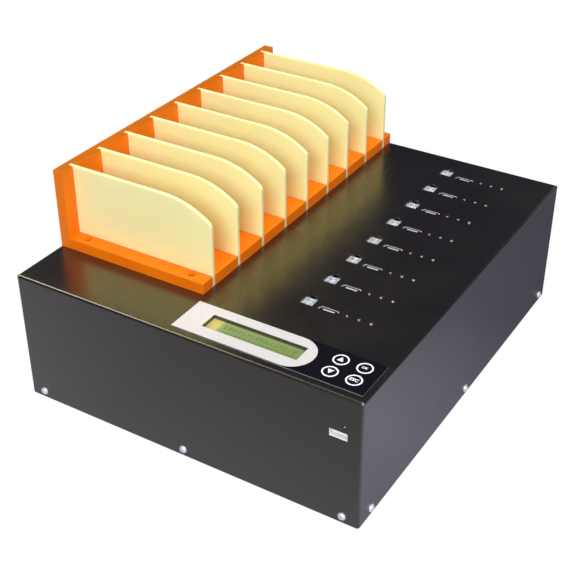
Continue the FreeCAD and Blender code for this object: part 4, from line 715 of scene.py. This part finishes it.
# %% The driver's cross
def cross_cutter(across, deep):
    """A cross that narrows downwards, as the driver's tip does. Sizes are shares of the head's."""
    shape = bmesh.new()
    arm, blade = across * 0.24, across * 0.055
    tip_arm, tip_blade, over = arm * 0.35, blade * 0.6, deep * 0.6
    corners = ((-1, -1), (1, -1), (1, 1), (-1, 1))
    for turn in (0, math.pi / 2):
        spin = Matrix.Rotation(turn, 4, "Z")
        below = [shape.verts.new(spin @ Vector((x * tip_arm, y * tip_blade, -deep)))
                 for x, y in corners]
        above = [shape.verts.new(spin @ Vector((x * arm, y * blade, over))) for x, y in corners]
        shape.faces.new(below[::-1])
        shape.faces.new(above)
        for step in range(4):
            after = (step + 1) % 4
            shape.faces.new([below[step], below[after], above[after], above[step]])
    bmesh.ops.recalc_face_normals(shape, faces=shape.faces)
    return shape


def loose_object(name, shape):
    """An object that is only a tool: it is linked now and removed after use."""
    mesh = bpy.data.meshes.new(name)
    shape.to_mesh(mesh)
    shape.free()
    tool = bpy.data.objects.new(name, mesh)
    bpy.context.collection.objects.link(tool)
    return tool


print("a 6 mm head's cutter has", len(cross_cutter(0.006, 0.0014).faces), "faces")

# %% A pan head with a cross recess
HEAD_STEPS = 40
RECESS_SHARE = 0.75


def screw_profile(across, tall, shank, long):
    """A screw's outline: a chamfered tip, a shank, and a head that is flat on top and rounds off
    to a low side."""
    tip = [(0, -long), (shank / 2 * 0.8, -long), (shank / 2, -long + shank * 0.15)]
    seat = [(shank / 2, 0), (across / 2 * 0.98, 0), (across / 2, tall * 0.06)]
    crown = [(across / 2 * (0.4 + 0.6 * out), tall * (0.25 + 0.75 * (1 - out ** 2)))
             for out in (1, 0.95, 0.85, 0.7, 0.5, 0.25, 0)]
    return tip + seat + crown + [(0, tall)]


def screw_mesh(across, tall, shank, long):
    """One screw with its head's seat at the origin and its head upwards."""
    profile = screw_profile(across, tall, shank, long)
    blank = loose_object("screw_blank", lathe(profile, HEAD_STEPS))
    cutter = loose_object("screw_cross", cross_cutter(across, tall * RECESS_SHARE))
    cutter.location.z = tall
    cut = blank.modifiers.new("recess", "BOOLEAN")
    cut.operation = "DIFFERENCE"
    cut.solver = "EXACT"
    cut.use_self = True
    cut.object = cutter
    bpy.context.view_layer.update()
    settled = blank.evaluated_get(bpy.context.evaluated_depsgraph_get())
    mesh = bpy.data.meshes.new_from_object(settled)
    for tool in (blank, cutter):
        bpy.data.objects.remove(tool)
    return mesh


def screw_set(name, mesh, places, node):
    """Copies of one screw at (place, axis, turn), in the stead of a CAD node."""
    shape = bmesh.new()
    for place, axis, turn in places:
        start = len(shape.verts)
        shape.from_mesh(mesh)
        shape.verts.ensure_lookup_table()
        bmesh.ops.transform(shape, matrix=aimed(place, axis) @ Matrix.Rotation(turn, 4, "Z"),
                            verts=shape.verts[start:])
    piece = piece_from(shape, name, nickel, smooth=True)
    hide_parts(node)
    return piece


print("a screw's outline has", len(screw_profile(0.006, 0.0019, 0.003, 0.006)), "points")

# %% Casing screws
HALF_WIDE, HALF_DEEP = 0.140, 0.165
END_INSET, FRONT_INSET, REAR_INSET = 0.0125, 0.017, 0.0125
SCREW_RISE = 0.0055
cover_low, cover_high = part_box("top_cover")
screw_level = cover_low.z + SCREW_RISE
end_columns = (-(HALF_WIDE - END_INSET), 0.0, HALF_WIDE - END_INSET)
side_span = 2 * HALF_DEEP - FRONT_INSET - REAR_INSET
side_rows = [-HALF_DEEP + FRONT_INSET + step * side_span / 2 for step in range(3)]
# Each screw is a place, the way that its head looks, and the turn at which it was tightened.
casing_screws = [((x, side * HALF_DEEP, screw_level), (0, side, 0), 0.4 + 85 * x * side)
                 for side in (-1, 1) for x in end_columns]
casing_screws += [((side * HALF_WIDE, y, screw_level), (side, 0, 0), 0.9 + 30 * y)
                  for side in (-1, 1) for y in side_rows]
pan_head = screw_mesh(across=0.006, tall=0.0019, shank=0.003, long=0.006)
casing_set = screw_set("casing_screw_set", pan_head, casing_screws, "cover_screws")
node_low, node_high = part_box("cover_screws")
print(len(casing_screws), "casing screws in", casing_set.name,
      "; CAD reach y", round(node_low.y, 4), "to", round(node_high.y, 4))

# %% Fan screws
FAN_HEAD, FAN_HEAD_TALL = 0.008, 0.0024
fan_low, fan_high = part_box("fan_screws")
fan_x = [fan_low.x + FAN_HEAD / 2, fan_high.x - FAN_HEAD / 2]
fan_z = [fan_low.z + FAN_HEAD / 2, fan_high.z - FAN_HEAD / 2]
fan_seat = fan_high.y - FAN_HEAD_TALL
fan_screws = [((x, fan_seat, z), (0, 1, 0), 0.3 + x * 20 + z * 30) for x in fan_x for z in fan_z]
fan_head = screw_mesh(across=FAN_HEAD, tall=FAN_HEAD_TALL, shank=0.0042, long=0.011)
screw_set("fan_screw_set", fan_head, fan_screws, "fan_screws")
print("fan screws at x", [round(x, 4) for x in fan_x], "z", [round(z, 4) for z in fan_z])

# %% [markdown]
# ## Label, rings and legends
#
# The pale label frames the display and ends in a half circle. Each key has a white ring around it
# and a mark on it: two triangles and two plain words. Print is a few hundredths of a millimetre
# thick, so each mark is a thin flat piece, and the marks on the keys ride with them.

# %% The display's window
WINDOW_FROM_LEFT, WINDOW_WIDE = 0.0182, 0.0735
WINDOW_FROM_FRONT, WINDOW_DEEP = 0.0103, 0.0153
film_low, film_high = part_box("panel_overlay")
film_top = film_high.z
window_left = film_low.x + WINDOW_FROM_LEFT
window_right = window_left + WINDOW_WIDE
window_front = film_low.y + WINDOW_FROM_FRONT
window_rear = window_front + WINDOW_DEEP
print("window from", [round(v, 4) for v in (window_left, window_front)],
      "to", [round(v, 4) for v in (window_right, window_rear)])

# %% Label
LABEL_LONG = 0.1008
LEFT_MARGIN, FRONT_MARGIN, REAR_MARGIN = 0.0003, 0.0006, 0.0005
ARC_STEPS = 40
label_left = film_low.x + LEFT_MARGIN
label_front, label_rear = film_low.y + FRONT_MARGIN, film_high.y - REAR_MARGIN
label_radius = (label_rear - label_front) / 2
round_x, round_y = film_low.x + LABEL_LONG - label_radius, (label_rear + label_front) / 2
angles = [-math.pi / 2 + step * math.pi / ARC_STEPS for step in range(ARC_STEPS + 1)]
half_circle = [(round_x + label_radius * math.cos(angle), round_y + label_radius * math.sin(angle))
               for angle in angles]
label_outline = [(label_left, label_rear), (label_left, label_front)] + half_circle
window_loop = [(window_left, window_front), (window_right, window_front),
               (window_right, window_rear), (window_left, window_rear)]
label = printed("pale_label", [label_outline, window_loop], film_top, label_white)
print("label (m):", [round(v, 4) for v in label.dimensions])

# %% Key rings
RING_OUTER, RING_INNER = 0.0056, 0.0045
key_place = {}
for key in WEARS[key_black]:
    low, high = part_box(key)
    x, y = (low.x + high.x) / 2, (low.y + high.y) / 2
    key_place[key] = (x, y, high.z)
    printed("ring_" + key, [ring((x, y), RING_OUTER), ring((x, y), RING_INNER)],
            film_top, ink_white)
print("keys at", {key: [round(v, 4) for v in place] for key, place in key_place.items()})

# %% Triangles on two keys
TRIANGLE_WIDE, TRIANGLE_TALL = 0.0046, 0.0043
BASE_SHARE = 0.42


def triangle(x, y, up):
    """A triangle with its point to the rear, or to the front when up is -1."""
    base = y - up * TRIANGLE_TALL * BASE_SHARE
    tip = y + up * TRIANGLE_TALL * (1 - BASE_SHARE)
    return [(x - TRIANGLE_WIDE / 2, base), (x + TRIANGLE_WIDE / 2, base), (x, tip)]


for key, up in (("up_key", 1), ("down_key", -1)):
    x, y, top = key_place[key]
    mark = printed("mark_" + key, [triangle(x, y, up)], top, ink_white, body=key)
    print(mark.name, "spans", [round(v, 4) for v in mark.dimensions])

# %% Words on two keys
LETTER_SIZE, LETTER_BOLDER = 0.003, 0.00008


def word(key, text, wide):
    """A short word as thin print on a key, scaled to a width."""
    letters = bpy.data.curves.new("mark_" + key, "FONT")
    letters.body = text
    letters.size = LETTER_SIZE
    letters.offset = LETTER_BOLDER
    letters.extrude = PRINT_THICK / 2
    letters.align_x = "CENTER"
    letters.align_y = "CENTER"
    shape = flat_mesh("mark_" + key, letters)
    across = [vert.co.x for vert in shape.verts]
    up = [vert.co.y for vert in shape.verts]
    grow = wide / (max(across) - min(across))
    middle = Vector(((max(across) + min(across)) / 2, (max(up) + min(up)) / 2, 0))
    x, y, top = key_place[key]
    for vert in shape.verts:
        flat = (vert.co - middle) * grow
        vert.co = Vector((x + flat.x, y + flat.y, top + PRINT_THICK / 2 + vert.co.z))
    bmesh.ops.remove_doubles(shape, verts=shape.verts, dist=TOUCHING)
    return piece_from(shape, "mark_" + key, ink_white, key)


for key, text, wide in (("ok_key", "OK", 0.0044), ("back_key", "ESC", 0.0062)):
    print(text, "spans", [round(v, 4) for v in word(key, text, wide).dimensions])

# %% [markdown]
# ## Display cells
#
# A blank character display still shows its cells: two rows of sixteen, faintly darker than the
# glass around them, each with its five by eight dots. The dots are thin print on the glass.

# %% Two rows of sixteen cells
ROWS, CELLS = 2, 16
CELLS_FROM_LEFT, CELLS_FROM_FRONT, CELLS_MARGIN = 0.0110, 0.0020, 0.016
ROW_STEP = 0.0058
DOTS_ACROSS, DOTS_UP = 5, 8
DOT_SIDE, DOT_STEP_X, DOT_STEP_Y = 0.00048, 0.00056, 0.00058
DOT_ABOVE_GLASS = 0.00003
ink_cell = Finish("display_dot", (0.15, 0.235, 0.062), 0.2)
ink_cell.drift(300, 0.2)


def display_cells():
    """Thirty-two cells of dots on the glass, inside the window."""
    shape = bmesh.new()
    level = lcd_high.z + DOT_ABOVE_GLASS
    cell_step = (window_right - window_left - CELLS_MARGIN) / CELLS
    for row in range(ROWS):
        for cell in range(CELLS):
            x0 = window_left + CELLS_FROM_LEFT + cell * cell_step
            y0 = window_front + CELLS_FROM_FRONT + row * ROW_STEP
            for dot in range(DOTS_ACROSS * DOTS_UP):
                x, y = x0 + dot // DOTS_UP * DOT_STEP_X, y0 + dot % DOTS_UP * DOT_STEP_Y
                shape.faces.new([shape.verts.new((x + a * DOT_SIDE, y + b * DOT_SIDE, level))
                                 for a, b in ((0, 0), (1, 0), (1, 1), (0, 1))])
    return shape


cells = piece_from(display_cells(), "display_cells", ink_cell)
print("display dots:", len(cells.data.polygons))

# %% [markdown]
# ## Corner welds
#
# The lid is folded from one sheet, and its four top corners, where three faces meet, are closed
# with a dab of weld and ground down. The dab stands out as a small light spot.

# %% Ground weld at each corner
WELD_RADIUS, WELD_INSET = 0.00115, 0.0012
WELD_UNEVEN = 0.12
weld_grey = Finish("ground_weld", (0.16, 0.16, 0.165), 0.45, 0.6)
weld_grey.drift(900, 0.3).rub(1500, 0.35, 0.6).grain(1800, 0.00003)


def weld_dab(shape, place):
    """A small ball, uneven as a ground weld is."""
    start = len(shape.verts)
    bmesh.ops.create_icosphere(shape, subdivisions=2, radius=WELD_RADIUS)
    shape.verts.ensure_lookup_table()
    for vert in shape.verts[start:]:
        wobble = 1 + WELD_UNEVEN * math.sin(vert.co.x * 5000 + vert.co.y * 3700)
        vert.co = Vector(place) + vert.co * wobble


welds = bmesh.new()
for side in (-1, 1):
    for end in (-1, 1):
        weld_dab(welds, (side * (HALF_WIDE - WELD_INSET), end * (HALF_DEEP - WELD_INSET),
                         cover_high.z - WELD_INSET))
dabs = piece_from(welds, "corner_welds", weld_grey, smooth=True)
print("weld dabs reach", [round(v, 4) for v in dabs.dimensions])

# %% [markdown]
# ## Contacts
#
# Contacts show in the mouths of the sockets. The USB tongue carries four gold-flashed ones on its
# underside, and each data port's tongue seven tinned ones, bright where they face up and painted
# dark on their sides as painted shade, like the port's own shell. They are thin strips that lie on
# the tongues.

# %% A strip
def strip(shape, low, high):
    """A closed box between two corners."""
    corners = [shape.verts.new((x, y, z)) for z in (low[2], high[2]) for x, y in
               ((low[0], low[1]), (high[0], low[1]), (high[0], high[1]), (low[0], high[1]))]
    for face in ((0, 3, 2, 1), (4, 5, 6, 7), (0, 1, 5, 4), (1, 2, 6, 5), (2, 3, 7, 6),
                 (3, 0, 4, 7)):
        shape.faces.new([corners[place] for place in face])


def row_across(middle, count, pitch):
    """Places in a row, evenly on both sides of a middle."""
    return [middle + (place - (count - 1) / 2) * pitch for place in range(count)]


print("four in a row:", [round(x, 5) for x in row_across(0, 4, 0.0024)])

# %% Strips on the USB tongue
USB_STRIPS, USB_PITCH, USB_HALF, USB_THICK = 4, 0.0024, 0.0006, 0.00012
USB_START, USB_END = 0.0032, 0.0085
usb_low, usb_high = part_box("usb_tongue")
usb_strips = bmesh.new()
for x in row_across((usb_low.x + usb_high.x) / 2, USB_STRIPS, USB_PITCH):
    strip(usb_strips, (x - USB_HALF, usb_low.y + USB_START, usb_low.z - USB_THICK),
          (x + USB_HALF, usb_low.y + USB_END, usb_low.z))
piece_from(usb_strips, "usb_contacts", contact_gold)
print("usb tongue z", round(usb_low.z, 4), "to", round(usb_high.z, 4))

# %% Strips on the data tongues
DATA_STRIPS, DATA_PITCH, DATA_HALF_WIDE, DATA_HALF_DEEP = 7, 0.00127, 0.00047, 0.00073
DATA_BELOW, DATA_LONG = 0.00012, 0.0062
data_strips = bmesh.new()
for shell in WEARS[port_steel_painted_shade]:
    low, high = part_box(shell)
    middle_y = (low.y + high.y) / 2
    for x in row_across((low.x + high.x) / 2, DATA_STRIPS, DATA_PITCH):
        strip(data_strips, (x - DATA_HALF_WIDE, middle_y - DATA_HALF_DEEP, high.z - DATA_LONG),
              (x + DATA_HALF_WIDE, middle_y + DATA_HALF_DEEP, high.z - DATA_BELOW))
# The contacts wear the shell's finish, whose sideways faces are painted dark as painted shade.
data_contacts = piece_from(data_strips, "data_contacts", port_steel_painted_shade)
print("data contacts:", len(data_contacts.data.polygons) // 6, "strips")

# %% [markdown]
# ## Rocker marks
#
# The power rocker carries the two usual marks, a bar for on and a ring for off. They are moulded
# in white on its two faces, and ride with it. Each mark is set on the face that it belongs to,
# found by asking the rocker's own mesh for the faces that look to the rear.

# %% The rocker's two faces
REARWARD, SIDEWAYS = 0.9, 0.1
LARGE_FACE = 0.00005


def rocker_faces():
    """The middle and the normal of the rocker's two large rear faces, the lower x first."""
    sides = {}
    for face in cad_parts["power_rocker"].data.polygons:
        if face.normal.y > REARWARD and abs(face.normal.z) < SIDEWAYS:
            sides.setdefault(round(face.normal.x, 2), []).append(
                (face.area, face.center.copy(), face.normal.copy()))
    found = []
    for parts in sides.values():
        area = sum(part_area for part_area, centre, normal in parts)
        if area > LARGE_FACE:
            middle = sum((centre * part_area for part_area, centre, normal in parts), Vector())
            found.append((middle / area, parts[0][2]))
    return sorted(found, key=lambda side: side[0].x)


on_face, off_face = rocker_faces()
print("faces at x", round(on_face[0].x, 4), "and", round(off_face[0].x, 4))

# %% Bar and ring
BAR = [(x * 0.0004, y * 0.0022) for x, y in ((-1, -1), (1, -1), (1, 1), (-1, 1))]
RING = [ring((0, 0), 0.0023), ring((0, 0), 0.0016)]
for name, loops, (middle, normal) in (("mark_on", [BAR], on_face), ("mark_off", RING, off_face)):
    mark = printed(name, loops, 0, ink_white, body="rocker")
    mark.data.transform(aimed(middle, normal))
    print(name, "at", [round(v, 4) for v in middle])
